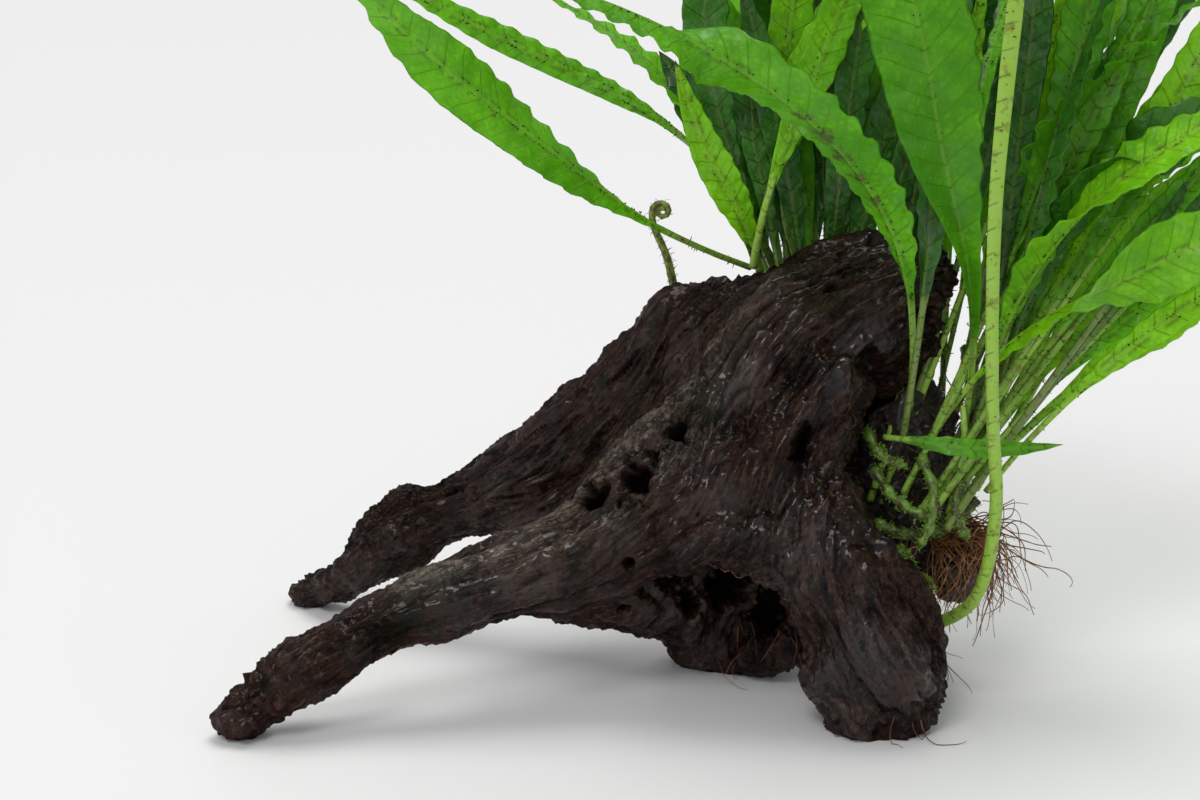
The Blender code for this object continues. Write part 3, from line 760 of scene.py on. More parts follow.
@dataclass
class Driftwood:
    """One weathered skin over every solid of the driftwood."""

    voxel: float = 0.00088
    quick_voxel: float = 0.00088 * 1.6
    rounds: int = 4
    grow: float = 0.00035  # closes the gaps between the solids
    sink: float = 0.0004  # takes that growth back, and a little more
    pulls: int = 700  # rounds of conjugate gradients for the grain
    quick_pulls: int = 250
    joins: tuple = (((50, 4, 15), (9, 9, 10.5)), ((56, 0, 24), (9, 9, 10)))  # wood from heel to foot
    grain_lines: tuple = (
        # front leg to the crown's end
        ((-97, -37, 3), (-79, -33, 15), (-52, -25, 28), (-26, -17, 35), (0, -10, 48), (24, -3, 68),
         (50, 7, 96), (79, 13, 107), (96, 16, 104)),
        # rear leg to the crown's end
        ((-89, 64, 2), (-72, 55, 14), (-54, 47, 30), (-28, 39, 42), (6, 32, 66), (30, 27, 94),
         (58, 24, 100), (90, 20, 100)),
        # over the arch and up the face
        ((-34, -14, 29), (0, -10, 32), (26, -18, 42), (40, -22, 52), (52, -16, 74), (70, 0, 98)),
        # front foot
        ((92, -38, 2), (84, -38, 14), (70, -34, 30), (56, -26, 48), (50, -14, 74), (66, 2, 98)),
        # heel
        ((32, 16, -2), (30, 12, 22), (30, 8, 48), (44, 6, 70), (66, 12, 98)),
        # back foot
        ((77, 37, -2), (75, 32, 34), (70, 25, 64), (68, 20, 90)),
    )
    pits: tuple = (
        # the three round holes below the crest, then smaller ones and the hollows
        Pit((20, -13, 75), 2.5, 8.0, 1.3), Pit((10, -18, 64), 3.5, 9.0, 1.5),
        Pit((-1, -17, 59), 2.9, 8.0, 1.4), Pit((8, -23, 43), 1.5, 4.5, 1.3),
        Pit((7, -15, 27), 1.7, 5.0, 1.2), Pit((52, -21, 75), 2.4, 6.0, 2.4),
        Pit((74, 8, 72), 3.4, 7.0, 2.0), Pit((36, -4, 28), 5.5, 9.0, 1.5),
        Pit((24, -6, 26), 3.4, 7.0, 1.4), Pit((47, 0, 20), 5.0, 8.0, 1.4),
        Pit((-43, 37, 43), 1.4, 4.0, 1.6), Pit((14, -15, 69), 1.2, 3.5, 1.0),
        Pit((84, 2, 104), 2.4, 4.0, 1.5), Pit((60, -2, 111), 1.3, 2.5, 1.3),
        Pit((31, -5, 94), 1.6, 1.2, 2.2), Pit((-60, -30, 31), 1.2, 1.5, 3.0),
    )
    seams: tuple = (
        # the worn crest, with a lower ridge and a furrow in front of it
        Seam(((-52, -27, 37), (-38, -25, 42), (-20, -22, 48), (-3, -14, 59), (9, -10, 70),
              (21, -5, 81), (31, -2, 92), (38, -1, 102), (46, 2, 110)), 2.6, 2.6, 1.0),
        Seam(((-26, -24, 41), (0, -21, 51), (12, -20, 58), (21, -16, 69), (30, -12, 80),
              (38, -8, 92)), 1.3, 2.2, 0.45),
        Seam(((-30, -24, 43), (-12, -20, 50), (-1, -17, 58), (10, -16, 66), (20, -12, 76),
              (31, -6, 89)), -1.3, 1.8),
        # the valley behind the crest, and the furrow of the rear leg
        Seam(((-8, -12, 52), (4, -2, 63), (15, 4, 74), (26, 6, 86)), -1.4, 2.6),
        Seam(((-43, 36, 40), (-32, 30, 42), (-22, 25, 44), (-8, 20, 50)), -2.4, 2.2),
        # the slot in the face, the gully at the right and the ridge between them
        Seam(((54, -17, 84), (52, -21, 75), (52, -25, 66), (55, -28, 56)), -2.4, 2.0),
        Seam(((70, -6, 94), (72, 2, 82), (73, 8, 66), (73, 2, 56)), -4.5, 3.0),
        Seam(((62, -12, 96), (62, -17, 84), (64, -22, 70), (70, -28, 54), (74, -34, 38)), 2.8, 2.6),
        Seam(((58, -13, 94), (57, -19, 80), (58, -24, 66), (63, -29, 50)), -1.8, 1.5),
        # the arch's lip, a fold of the face, and the heel's swell
        Seam(((16, -10, 34), (26, -4, 34), (38, -2, 31), (50, -30, 42)), 1.2, 2.4),
        Seam(((40, -4, 100), (44, -10, 90), (44, -18, 78), (44, -25, 66), (46, -29, 54)), 1.1, 3.0),
        Seam(((42, 6, 1), (44, 4, 8), (50, 2, 18), (55, 2, 32)), 9.0, 7.0),
        # the rear leg's ridge
        Seam(((-30, 34, 46), (-12, 26, 56), (6, 20, 70), (22, 16, 86)), 1.4, 2.6, 0.25),
        # the neck and the knob before the front leg's tip
        Seam(((-79, -40, 19), (-84, -42, 14), (-86, -40, 8)), -3.0, 2.4),
        Seam(((-74, -34, 22), (-79, -33, 21)), 1.6, 2.4, 0.3),
    )
    mossy: tuple = (Patch((-51, -34, 31), 11), Patch((-40, -28, 39), 9), Patch((-60, -36, 25), 6),
                    Patch((27, -11, 82), 9), Patch((22, -14, 74), 6))
    green: tuple = (Patch((57, -3, 111), 17), Patch((38, -2, 102), 10), Patch((70, 2, 114), 14),
                    Patch((20, -5, 80), 8), Patch((-45, -26, 40), 10))
    glossy: tuple = (Patch((46, -29, 54), 17), Patch((33, -20, 66), 10), Patch((70, -38, 20), 18),
                     Patch((34, -9, 88), 9), Patch((66, -14, 96), 12), Patch((-20, -24, 44), 12))

    def nodes(self) -> list[str]:
        """The solids that it covers."""
        return sorted(n for n in frame["nodes"] if n.startswith("wood_"))

    def frames(self, places: np.ndarray) -> np.ndarray:
        """At each place three directions: along the limbs, and two across them.

        Args:
            places: where they are wanted.

        Returns:
            Three rows of three numbers for each place.
        """
        run = np.zeros_like(places)
        for line in self.grain_lines:
            rows = curved([tuple(here(p)) for p in line], len(line) * 3)
            for a, b in zip(rows, rows[1:]):
                gap = np.linalg.norm(places - nearest_on(places, a, b), axis=1)
                run += unit(b - a)[None] / (gap[:, None] / MM + 2.0) ** 3.5
        run = unit(run)
        side = np.array([0.0, 1.0, 0.0]) - run * run[:, 1:2]
        side = unit(side)
        return np.stack([run, side, np.cross(run, side)], 1)

    def grain(self, places: np.ndarray, edges: np.ndarray) -> np.ndarray:
        """Coordinates in millimetres that run along the grain and across it.

        Their differences over the edges come as near as they can to the frames' directions, which
        conjugate gradients find.

        Args:
            places: the vertices.
            edges: pairs of them.

        Returns:
            Three numbers for each vertex.
        """
        a, b = edges.T
        frames = self.frames(places)
        wanted = (unit(frames[a] + frames[b]) * (places[b] - places[a])[:, None]).sum(2) / MM

        def gathered(rows: np.ndarray) -> np.ndarray:
            """What the edges bring to each vertex."""
            count = len(places)
            return np.stack([np.bincount(b, r, count) - np.bincount(a, r, count) for r in rows.T], 1)

        found = (frames * (places - places.mean(0))[:, None]).sum(2) / MM
        left = gathered(wanted - (found[b] - found[a]))
        way, size = left.copy(), (left ** 2).sum(0)
        for _ in range(self.pulls):
            turned = gathered(way[b] - way[a])
            pace = size / np.maximum((way * turned).sum(0), 1e-20)
            found += pace * way
            left -= pace * turned
            new = (left ** 2).sum(0)
            way = left + way * new / np.maximum(size, 1e-20)
            size = new
        return found

    def nearness(self, local: np.ndarray, patches: Sequence[Patch]) -> np.ndarray:
        """1 in the middle of the patches and 0 outside them.

        Args:
            local: places in the routes' millimetres.
            patches: the patches.

        Returns:
            A share for each place.
        """
        total = np.zeros(len(local))
        for patch in patches:
            gap = np.linalg.norm(local - patch.place, axis=1) / patch.radius
            total = np.maximum(total, ease(gap, 1.15, 0.45))
        return total

    def pitted(self, places: np.ndarray, normals: np.ndarray, rough: np.ndarray,
               run: np.ndarray) -> np.ndarray:
        """How deep the holes are at each place, in millimetres, with a slight rim round them.

        Args:
            places: the vertices.
            normals: their normals.
            rough: noise that breaks up the rims.
            run: the direction of the grain at each.

        Returns:
            A depth for each vertex.
        """
        depth = np.zeros(len(places))
        for pit in self.pits:
            mouth = np.array(here(pit.place))
            k = np.argmin(np.linalg.norm(places - mouth, axis=1))
            off = (places - places[k]) / MM
            along = off @ run[k]
            side = off - along[:, None] * run[k]
            gap = np.sqrt((along / pit.long) ** 2 + (side ** 2).sum(1)) / pit.radius
            gap = gap * (1 + 0.22 * rough)
            hole = pit.depth * ease(gap, 1.15, 0.55) - 0.4 * ease(gap, 2.2, 1.3)
            depth = np.where(normals @ normals[k] > -0.2, depth + hole, depth)
        return depth

    def solid(self) -> bpy.types.Object:
        """The skin before anything is cut into it.

        Returns:
            The bare skin.
        """
        bm = merged_copy(self.nodes(), self.grow)
        for place, size in self.joins:
            fitted = Matrix.Translation(here(place)) @ Matrix.Diagonal((*(MM * r for r in size), 1.0))
            bmesh.ops.create_icosphere(bm, subdivisions=4, radius=1.0, matrix=fitted)
        return regrown("driftwood", bm, self.voxel, self.rounds)

    def seamed(self, local: np.ndarray, lump: np.ndarray) -> tuple:
        """What the seams add at each place, in millimetres, and how worn they leave it.

        Args:
            local: places in the routes' millimetres.
            lump: noise that varies the seams' width.

        Returns:
            Both, for each place.
        """
        rise, worn = np.zeros(len(local)), np.zeros(len(local))
        for seam in self.seams:
            rows = curved(seam.course, len(seam.course) * 4)
            gap = np.min([np.linalg.norm(local - nearest_on(local, a, b), axis=1)
                          for a, b in zip(rows, rows[1:])], axis=0)
            rise += seam.rise * np.exp(-(gap / seam.width * (1 + 0.3 * lump)) ** 2)
            worn = np.maximum(worn, seam.worn * np.exp(-(gap / 4.5) ** 2))
        return rise, worn

    def build(self) -> bpy.types.Object:
        """The skin with its grain, ridges, furrows, pits and broken end.

        Returns:
            The finished piece.
        """
        wood = self.solid()
        mesh = wood.data
        places, normals = positions(mesh), outward(mesh)
        grain = self.grain(places, pairs_of(mesh))
        local = (places - np.array(here((0, 0, 0)))) / MM
        x, y, z = local.T
        leg, rear = ease(x, -16, -40) * ease(y, 10, 0), ease(y, 4, 16)
        ragged = np.max([ease(x, 84, 92) * ease(z, 78, 88), ease(x, -74, -86),
                         ease(z, 16, 4) * ease(x, 40, 60), ease(x, -46, -56) * ease(y, 10, 20) * 0.7],
                        axis=0)
        lump = billow(local, (0.055,) * 3, 3, 2)
        ridges = abs(billow(grain, (0.013, 0.105, 0.105), 11, 3)) ** 0.8
        strands = abs(billow(grain, (0.030, 0.27, 0.27), 23, 3)) ** 0.8
        threads = abs(billow(grain, (0.075, 0.62, 0.62), 37, 2))
        knobs = abs(billow(local, (0.22,) * 3, 51, 3)) ** 0.9
        grit = abs(billow(local, (0.5,) * 3, 71, 2))
        rise, worn = self.seamed(local, lump)
        height = (1.4 + 0.1 * rear) * (ridges - 0.75) * (1 - 0.45 * leg)
        height += (0.85 - 0.15 * rear) * (strands - 0.75) + 0.30 * (threads - 0.7) + 0.9 * lump
        height += 0.28 * (grit - 0.7) + ragged * 1.1 * (knobs - 0.7) + rise
        hollow = self.pitted(places, normals, billow(local, (0.3,) * 3, 5, 2),
                             self.frames(places)[:, 0])
        moved = places + normals * ((height - hollow) * MM * 0.9 - self.sink)[:, None]
        was, now = places[:, 2], moved[:, 2]
        moved[:, 2] = np.where(was < 0.0016, np.maximum(was, 0.0), np.maximum(now, 0.0003))
        put(mesh, moved)
        up = np.clip(outward(mesh)[:, 2], 0, 1)
        # the low furrows between the ridges, darkened in the finish as painted shade
        cracks = ease(ridges, 0.32, 0.05) * 0.7 + ease(strands, 0.25, 0.0) * 0.5
        for name, values in (
            ("grain", grain),
            # painted shade: darker in the furrows and in pits deeper than 0.6 mm
            ("groove_shade", np.clip(cracks + 0.3 * np.maximum(hollow - 0.6, 0), 0, 1)),
            # worn crests paler, with painted light from above on faces that look up
            ("pale", np.clip(worn * (0.35 + 0.8 * up) * (1 - cracks), 0, 1)),
            ("warm", np.clip(0.65 * leg + 0.35 + 0.25 * lump, 0, 1)),
            ("green", self.nearness(local, self.green) * (0.4 + 0.6 * up)),
            ("mossy", self.nearness(local, self.mossy)),
            ("wet", np.clip(0.45 + 0.5 * self.nearness(local, self.glossy) + 0.15 * lump, 0, 1)),
        ):
            note(mesh, name, values)
        return adopt(wood, WetWood().material(), "driftwood", self.nodes())


# ------------------------------------------------------------------ fronds


@dataclass
class Spine:
    """A frond's run: centres, sideways and upward directions, half widths and folds, root to tip."""

    centre: np.ndarray
    side: np.ndarray
    up: np.ndarray
    half: np.ndarray
    fold: np.ndarray

    @property
    def length(self) -> float:
        """How long it is, in metres."""
        return float(np.linalg.norm(np.diff(self.centre, axis=0), axis=1).sum())


def spine_of(node: str, rounds: int = 4) -> Spine:
    """Reads the rings of four points that a frond's solid is made of.

    Args:
        node: the solid's name.
        rounds: how often its course is smoothed.

    Returns:
        Its spine, with one entry for each ring and one for the tip.
    """
    bm = merged_copy([node])
    bm.verts.ensure_lookup_table()

    def levels(start: int) -> list[list[int]]:
        """Vertices by how many edges away they are.

        Args:
            start: the vertex to count from.

        Returns:
            Rows of vertices, nearest first.
        """
        seen, rows = {start}, [[start]]
        while True:
            row = {e.other_vert(bm.verts[i]).index for i in rows[-1] for e in bm.verts[i].link_edges}
            row -= seen
            if not row:
                return rows
            seen |= row
            rows.append(sorted(row))

    rows = next(r for r in (levels(v.index) for v in bm.verts)
                if len(r[-1]) == 4 and all(len(row) == 4 for row in r[1:]))
    tip = np.array(bm.verts[rows[0][0]].co)
    rings = [np.array([bm.verts[i].co for i in row]) for row in rows[:0:-1]]
    bm.free()

    def spread(ring: np.ndarray) -> float:
        """The ring's greatest width."""
        return max(np.linalg.norm(a - b) for a in ring for b in ring)

    widest = max(range(len(rings)), key=lambda k: spread(rings[k]))
    ring = rings[widest]
    left, right = max(((i, j) for i in range(4) for j in range(i)),
                      key=lambda p: np.linalg.norm(ring[p[0]] - ring[p[1]]))
    rest = [i for i in range(4) if i not in (left, right)]
    rise = (ring[left] + ring[right]) / 2 - ring[rest].mean(0)
    top, bottom = sorted(rest, key=lambda i: -(ring[i] @ rise))
    rings[widest] = ring[[left, top, right, bottom]]

    def matched(known: np.ndarray, ring: np.ndarray) -> np.ndarray:
        """The ring in the known ring's order.

        Args:
            known: the ring beside it, in order.
            ring: the ring to put in order.

        Returns:
            The ring, reordered.
        """
        a = unit(known - known.mean(0))
        b = unit(ring - ring.mean(0))
        best = max(permutations(range(4)), key=lambda p: sum(a[k] @ b[p[k]] for k in range(4)))
        return ring[list(best)]

    for k in range(widest + 1, len(rings)):
        rings[k] = matched(rings[k - 1], rings[k])
    for k in range(widest - 1, -1, -1):
        rings[k] = matched(rings[k + 1], rings[k])
    stack = np.array(rings)
    centre = (stack[:, 1] + stack[:, 3]) / 2
    side = unit(stack[:, 2] - stack[:, 0])
    up = unit(stack[:, 1] - stack[:, 3])
    half = np.linalg.norm(stack[:, 2] - stack[:, 0], axis=1) / 2
    fold = (((stack[:, 0] + stack[:, 2]) / 2 - centre) * up).sum(1)
    eased = [np.vstack([centre, tip]), np.vstack([side, side[-1]]), np.vstack([up, up[-1]]),
             np.append(fold, 0.0)[:, None]]
    for rows, times in zip(eased, (rounds, 10, 10, 6)):
        for _ in range(times):
            rows[1:-1] = (rows[:-2] + 2 * rows[1:-1] + rows[2:]) / 4
    centre, side, up, fold = eased
    return Spine(centre, side, up, np.append(half, 0.0), fold[:, 0])


LEFT_COLUMNS = np.array([-1, -0.93, -0.80, -0.62, -0.42, -0.24, -0.11, -0.045, 0.0])
BLADE_COLUMNS = np.concatenate([LEFT_COLUMNS, -LEFT_COLUMNS[-2::-1]])  # closest beside the rib
STALK_COLUMNS = -np.cos(np.linspace(0, math.pi, len(BLADE_COLUMNS)))


@dataclass(frozen=True)
class Shoot:
    """A young frond among the others: where it starts and ends in millimetres, and how it leans."""

    base: tuple
    tip: tuple
    half: float
    bow: tuple = (0.0, 0.0, 0.0)
    facing: tuple = (-0.2, -1.0, 0.3)
    leaf: Leaf = Leaf.DARK
    stalk: float = 0.6
    bare: float = 0.1  # the share of its length that is stalk

    def spine(self) -> Spine:
        """Eleven rings on a bowed course.

        Returns:
            The spine.
        """
        ends = [np.array(here(p)) for p in (self.base, self.tip)]
        middle = (ends[0] + ends[1]) / 2 + np.array(self.bow) * MM
        t = np.linspace(0, 1, 11)[:, None]
        centre = (1 - t) ** 2 * ends[0] + 2 * t * (1 - t) * middle + t ** 2 * ends[1]
        along = unit(np.gradient(centre, axis=0))
        up = np.tile(unit(np.array(self.facing, float)), (11, 1))
        up = unit(up - along * (up * along).sum(1, keepdims=True))
        half = np.full(11, self.stalk * MM)
        return Spine(centre, np.cross(along, up), up, half, np.linspace(0, 1, 11) * 0.1 * self.half * MM)

    def widths(self) -> tuple:
        """Its half widths by share of the length.

        Returns:
            Pairs of a share and a half width in mm.
        """
        at = (0, self.bare, self.bare + 0.12, self.bare + 0.26, 0.6, 0.78, 0.92, 1)
        return tuple(zip(at, np.array((self.stalk / self.half, 0.2, 0.55, 0.86, 1, 0.8, 0.36, 0))
                         * self.half))


@dataclass
class Frond:
    """One leathery frond: a round stalk that runs on as the rib of a wavy blade."""

    name: str
    spine: Spine
    leaf: Leaf
    slot: str
    seed: int
    wave: float = 0.9  # how far the margin swings up and down, in mm
    period: float = 7.5  # from wave to wave, in mm
    scallop: float = 0.05
    pucker: float = 0.16
    facing: tuple = ()  # where its upper side looks, where the solid's way is not kept
    nudge: tuple = (0.0, 0.0, 0.0)  # how far its blade is moved from the solid's, in mm
    taper: float = 0.66  # how much of its thickness the rib loses by the tip
    widths: tuple = ()  # half widths in mm by share of the length, where the solid's are not kept
    bruises: tuple = ()  # share of the length, place across in mm and radius in mm of each
    nodes: tuple = ()
    step: float = 0.0013
    sheet: float = 0.00017  # half the blade's thickness
    rows: np.ndarray = field(default=None, repr=False)
    ups: np.ndarray = field(default=None, repr=False)
    radii: np.ndarray = field(default=None, repr=False)
    bladed: np.ndarray = field(default=None, repr=False)
    bruise: np.ndarray = field(default=None, repr=False)

    def build(self) -> bpy.types.Object:
        """The frond's mesh, with where each point is on it.

        Returns:
            The finished piece.
        """
        chance = np.random.default_rng(self.seed)
        spine = self.spine
        count = max(24, int(spine.length / self.step))
        share = np.linspace(0, 1, count + 1)
        centre = curved(spine.centre, count + 1)
        centre = centre + ease(share, 0.2, 0.5)[:, None] * np.array(self.nudge) * MM
        along = unit(np.gradient(centre, axis=0))
        up = np.tile(self.facing, (count + 1, 1)) if self.facing else curved(spine.up, count + 1)
        up = unit(up - along * (up * along).sum(1, keepdims=True))
        side = np.cross(along, up)
        if (side[0] @ spine.side[0]) < 0:
            side = -side
        half = self.half_widths(share)
        fold = curved(spine.fold[:, None], count + 1)[:, 0]
        radius = np.minimum(spine.half[0] * (1 - self.taper * share), np.maximum(half, 1e-5))
        run = np.concatenate([[0], np.cumsum(np.linalg.norm(np.diff(centre, axis=0), axis=1))]) / MM
        blade = ease(half / radius, 1.08, 2.2) * np.clip((1 - share) * 40, 0, 1)
        tip = np.clip((1 - share) * 30, 0, 1) ** 0.6
        v = STALK_COLUMNS[None] * (1 - blade[:, None]) + BLADE_COLUMNS[None] * blade[:, None]
        left, right = self.margin(run, chance), self.margin(run, chance)
        grown, lift = (np.where(v > 0, b[:, None], a[:, None]) for a, b in zip(left, right))
        out = half[:, None] * (1 + (grown - 1) * np.abs(v) ** 2 * blade[:, None])
        x = v * out
        fullness = (half / max(half.max(), 1e-9))[:, None]
        bent = fold[:, None] * np.abs(v) ** 1.15
        bent = bent + lift * MM * np.abs(v) ** 2.4 * blade[:, None] * np.minimum(1, fullness * 1.4)
        phase = 2 * math.pi * (run[:, None] - 0.75 * np.abs(x) / MM) / 6.9
        bent = bent + self.pucker * MM * np.sin(phase) * np.sin(math.pi * np.abs(v)) * blade[:, None]
        bent = bent + 0.35 * MM * blade[:, None] * np.sin(run / 9.0 + self.seed)[:, None] * v
        r = radius[:, None]
        rib = r * np.sqrt(np.clip(1 - (x / r) ** 2, 0, 1))
        sheet = self.sheet * (1 - np.abs(v) ** 8) * blade[:, None] * tip[:, None]
        top = np.sqrt((rib * (1 - 0.62 * blade[:, None])) ** 2 + sheet ** 2)
        low = np.sqrt((rib * (1 - 0.2 * blade[:, None])) ** 2 + sheet ** 2)
        axis = centre[:, None] + side[:, None] * x[..., None]
        upper = axis + up[:, None] * (bent + top * tip[:, None])[..., None]
        lower = axis + up[:, None] * (bent - low * tip[:, None])[..., None]
        ring = np.concatenate([upper, lower[:, -2:0:-1]], axis=1)
        across = np.concatenate([x, x[:, -2:0:-1]], axis=1)
        edge = np.concatenate([np.abs(v), np.abs(v)[:, -2:0:-1]], axis=1)
        ring[-1] = centre[-1]
        wide = np.broadcast_to(blade[:, None], across.shape)
        where = np.stack([np.broadcast_to(run[:, None] / 10, across.shape), across / MM / 10, edge], -1)
        luck = chance.uniform(0, 1)
        life = np.stack([np.broadcast_to(share[:, None], across.shape), wide,
                         np.full(across.shape, luck)], -1)
        self.rows, self.ups, self.radii, self.bladed = centre, up, radius, blade
        self.bruise = np.zeros(across.shape)
        for place, beside, reach in self.bruises:
            off = np.hypot(run[:, None] - place * run[-1], across / MM - beside)
            self.bruise = np.maximum(self.bruise, ease(off, reach * 1.2, 0.0))
        return self.mesh(ring, where, life)

    def margin(self, run: np.ndarray, chance: np.random.Generator) -> tuple:
        """How one margin swings in and out, and up and down.

        Args:
            run: how far along each station is, in mm.
            chance: where its numbers come from.

        Returns:
            The width's factor and the lift in mm at each station.
        """
        phase = chance.uniform(0, 6.28) + 0.9 * np.sin(run / chance.uniform(11, 17))
        period = self.period * chance.uniform(0.9, 1.15)
        swing = np.sin(2 * math.pi * run / period + phase)
        ruffle = np.sin(2 * math.pi * run / (period * 0.43) + phase * 1.7)
        return (1 + self.scallop * (0.7 * swing + 0.6 * np.abs(ruffle) - 0.4),
                self.wave * (swing * 0.85 + 0.22 * ruffle))

    def half_widths(self, share: np.ndarray) -> np.ndarray:
        """Half the width at each share of the length: a long taper, the full blade, a drawn-out tip.

        Args:
            share: how far along each station is.

        Returns:
            Half widths in metres.
        """
        stalk = self.spine.half[0]
        if self.widths:
            at, half = np.array(self.widths).T
            half = half * MM
        else:
            full = self.spine.half.max()
            at = np.array([0, 0.1, 0.2, 0.32, 0.46, 0.60, 0.74, 0.86, 0.95, 1.0])
            half = np.array([0, 0.12, 0.24, 0.46, 0.80, 1.0, 0.94, 0.66, 0.30, 0.0]) * full
            start = max(0.0, np.interp(1.35 * stalk, self.spine.half[:5], np.arange(5) / 10) - 0.2)
            half = np.where(at < 0.5, half * np.clip((at - start) / 0.22, 0, 1), half)
        rows = np.interp(share, at, half)
        for _ in range(max(2, len(share) // 14)):
            rows[1:-1] = (rows[:-2] + 2 * rows[1:-1] + rows[2:]) / 4
        rows[-1] = 0
        return np.maximum(rows, stalk * (1 - self.taper * share) * np.clip((1 - share) * 16, 0, 1))

    def mesh(self, ring: np.ndarray, where: np.ndarray, life: np.ndarray) -> bpy.types.Object:
        """A tube cut into rings and moved onto the frond's own.

        Args:
            ring: the points, by ring and by place round it.
            where: the blade field of each.
            life: the life field of each.

        Returns:
            The finished piece.
        """
        count, around = ring.shape[:2]
        bm = bmesh.new()
        bmesh.ops.create_cone(bm, cap_ends=True, segments=around, radius1=1, radius2=1, depth=2)
        long = [e for e in bm.edges if abs(e.verts[0].co.z - e.verts[1].co.z) > 1]
        bmesh.ops.subdivide_edges(bm, edges=long, cuts=count - 2, use_grid_fill=False)
        thing = shown(self.name, bm)
        mesh = thing.data
        places = positions(mesh)
        level = np.rint((places[:, 2] + 1) / 2 * (count - 1)).astype(int)
        turn = np.arctan2(places[:, 1], places[:, 0])
        slot = np.rint(turn / (2 * math.pi) * around).astype(int) % around
        put(mesh, ring[level, slot])
        note(mesh, "blade", where[level, slot])
        note(mesh, "life", life[level, slot])
        note(mesh, "bruise", self.bruise[level, slot])
        bm = bmesh.new()
        bm.from_mesh(mesh)
        bmesh.ops.remove_doubles(bm, verts=bm.verts, dist=1e-7)
        bmesh.ops.recalc_face_normals(bm, faces=bm.faces)
        bm.to_mesh(mesh)
        bm.free()
        mesh.shade_smooth()
        return adopt(thing, BLADES[self.leaf].material(), self.slot, self.nodes)

    def rootlets(self, chance: random.Random, every: float) -> list:
        """Dark hairs on the stalk, and dark dots on both sides of the blade's rib.

        Args:
            chance: where its numbers come from.
            every: how far apart they are, in mm.

        Returns:
            Points and radii of each.
        """
        runs = []
        for _ in range(int(self.spine.length / MM / every)):
            k = chance.randrange(2, int(len(self.rows) * 0.93))
            centre, up = Vector(self.rows[k]), Vector(self.ups[k])
            along = (centre - Vector(self.rows[k - 1])).normalized()
            side = along.cross(up)
            bladed = float(self.bladed[k])
            for way_side in chance.choice(((-1,), (1,), (-1, 1), (-1, 1))):
                if bladed > 0.5:
                    beside = way_side * (self.radii[k] + chance.uniform(0.1, 0.5) * MM)
                    start = centre + side * beside + along * chance.uniform(-0.6, 0.6) * MM
                    way = up * chance.choice((1, 1, 1, -1)) + along * chance.uniform(-0.5, 0.5)
                    long, thick = chance.uniform(0.3, 0.55) * MM, chance.uniform(0.13, 0.26) * MM
                else:
                    way = up * chance.uniform(-1, 1) + side * way_side * chance.uniform(0.2, 1)
                    way = (way + along * chance.uniform(-0.6, 0.6)).normalized()
                    start = centre + way * self.radii[k] * 0.8
                    long, thick = chance.uniform(0.4, 1.6) * MM, chance.uniform(0.08, 0.17) * MM
                bend = Vector([chance.uniform(-1, 1) for _ in range(3)]) * 0.5
                points = [start, start + way * long * 0.5 + bend * long * 0.25,
                          start + way * long * 0.75 + bend * long * 0.8]
                runs.append((points, (thick * 1.3, thick, thick * 0.3)))
        return runs


LOOKS = {
    "frond_left_far": dict(wave=1.3, period=6.4, scallop=0.08, widths=(
        (0, 0.7), (0.3, 0.7), (0.4, 1.1), (0.48, 2.6), (0.6, 3.5), (0.75, 3.7), (0.9, 2.3), (1, 0))),
    "frond_left_low": dict(wave=0.7, period=8.5, scallop=0.045, widths=(
        (0, 0.8), (0.22, 1.0), (0.3, 2.4), (0.36, 4.4), (0.42, 6.4), (0.5, 7.8), (0.62, 8.0),
        (0.75, 7.4), (0.86, 5.2), (0.94, 2.8), (1, 0)), bruises=((0.605, -2.0, 2.2),)),
    "frond_arching": dict(wave=0.9, period=7.5, scallop=0.06, widths=(
        (0, 0.8), (0.18, 1.0), (0.21, 2.4), (0.26, 4.8), (0.32, 6.8), (0.4, 8.4), (0.5, 9.4),
        (0.6, 8.2), (0.7, 6.8), (0.8, 5.2), (0.9, 3.0), (1, 0)),
        bruises=((0.46, 1.6, 8.0), (0.42, 1.8, 8.0), (0.38, 1.6, 7.0), (0.34, 1.4, 5.5),
                 (0.50, 0.8, 6.0))),
    "frond_broad": dict(wave=0.9, period=9.0, scallop=0.035, pucker=0.3, facing=(0.12, -1.0, 0.3),
                        nudge=(-4.5, 0.0, 0.0), widths=(
        (0, 0.8), (0.15, 1.0), (0.22, 1.6), (0.3, 3.0), (0.36, 5.6), (0.42, 8.6), (0.5, 11.6),
        (0.6, 13.2), (0.7, 12.8), (0.8, 10.5), (0.9, 6.5), (1, 0))),
    "frond_right_wavy": dict(wave=1.5, period=7.0, scallop=0.08),
    "frond_right_low": dict(wave=0.7, period=8.0, scallop=0.04, pucker=0.4, widths=(
        (0, 0.8), (0.15, 0.9), (0.25, 1.7), (0.33, 4.6), (0.42, 7.6), (0.52, 9.2), (0.62, 9.7),
        (0.75, 9.0), (0.88, 5.5), (1, 0))),
    "frond_right_big": dict(wave=0.8, period=9.0, pucker=0.4),
    "frond_dart": dict(wave=0.7, period=5.5, scallop=0.09, pucker=0.1, widths=(
        (0, 0.5), (0.12, 0.7), (0.22, 1.5), (0.36, 2.3), (0.55, 2.5), (0.75, 1.8), (0.9, 0.9),
        (1, 0))),
    "frond_small_upright": dict(wave=0.7, period=5.0, scallop=0.06, widths=(
        (0, 1.0), (0.1, 1.2), (0.2, 2.6), (0.35, 4.6), (0.5, 5.0), (0.65, 4.2), (0.8, 2.8),
        (0.93, 1.3), (1, 0))),
    "frond_tall": dict(taper=0.08, widths=(
        (0, 1.7), (0.6, 1.6), (0.68, 1.7), (0.75, 3.2), (0.84, 8.0), (0.9, 10.0), (0.95, 7.0), (1, 0))),
    "frond_stalk": dict(taper=0.1),
}


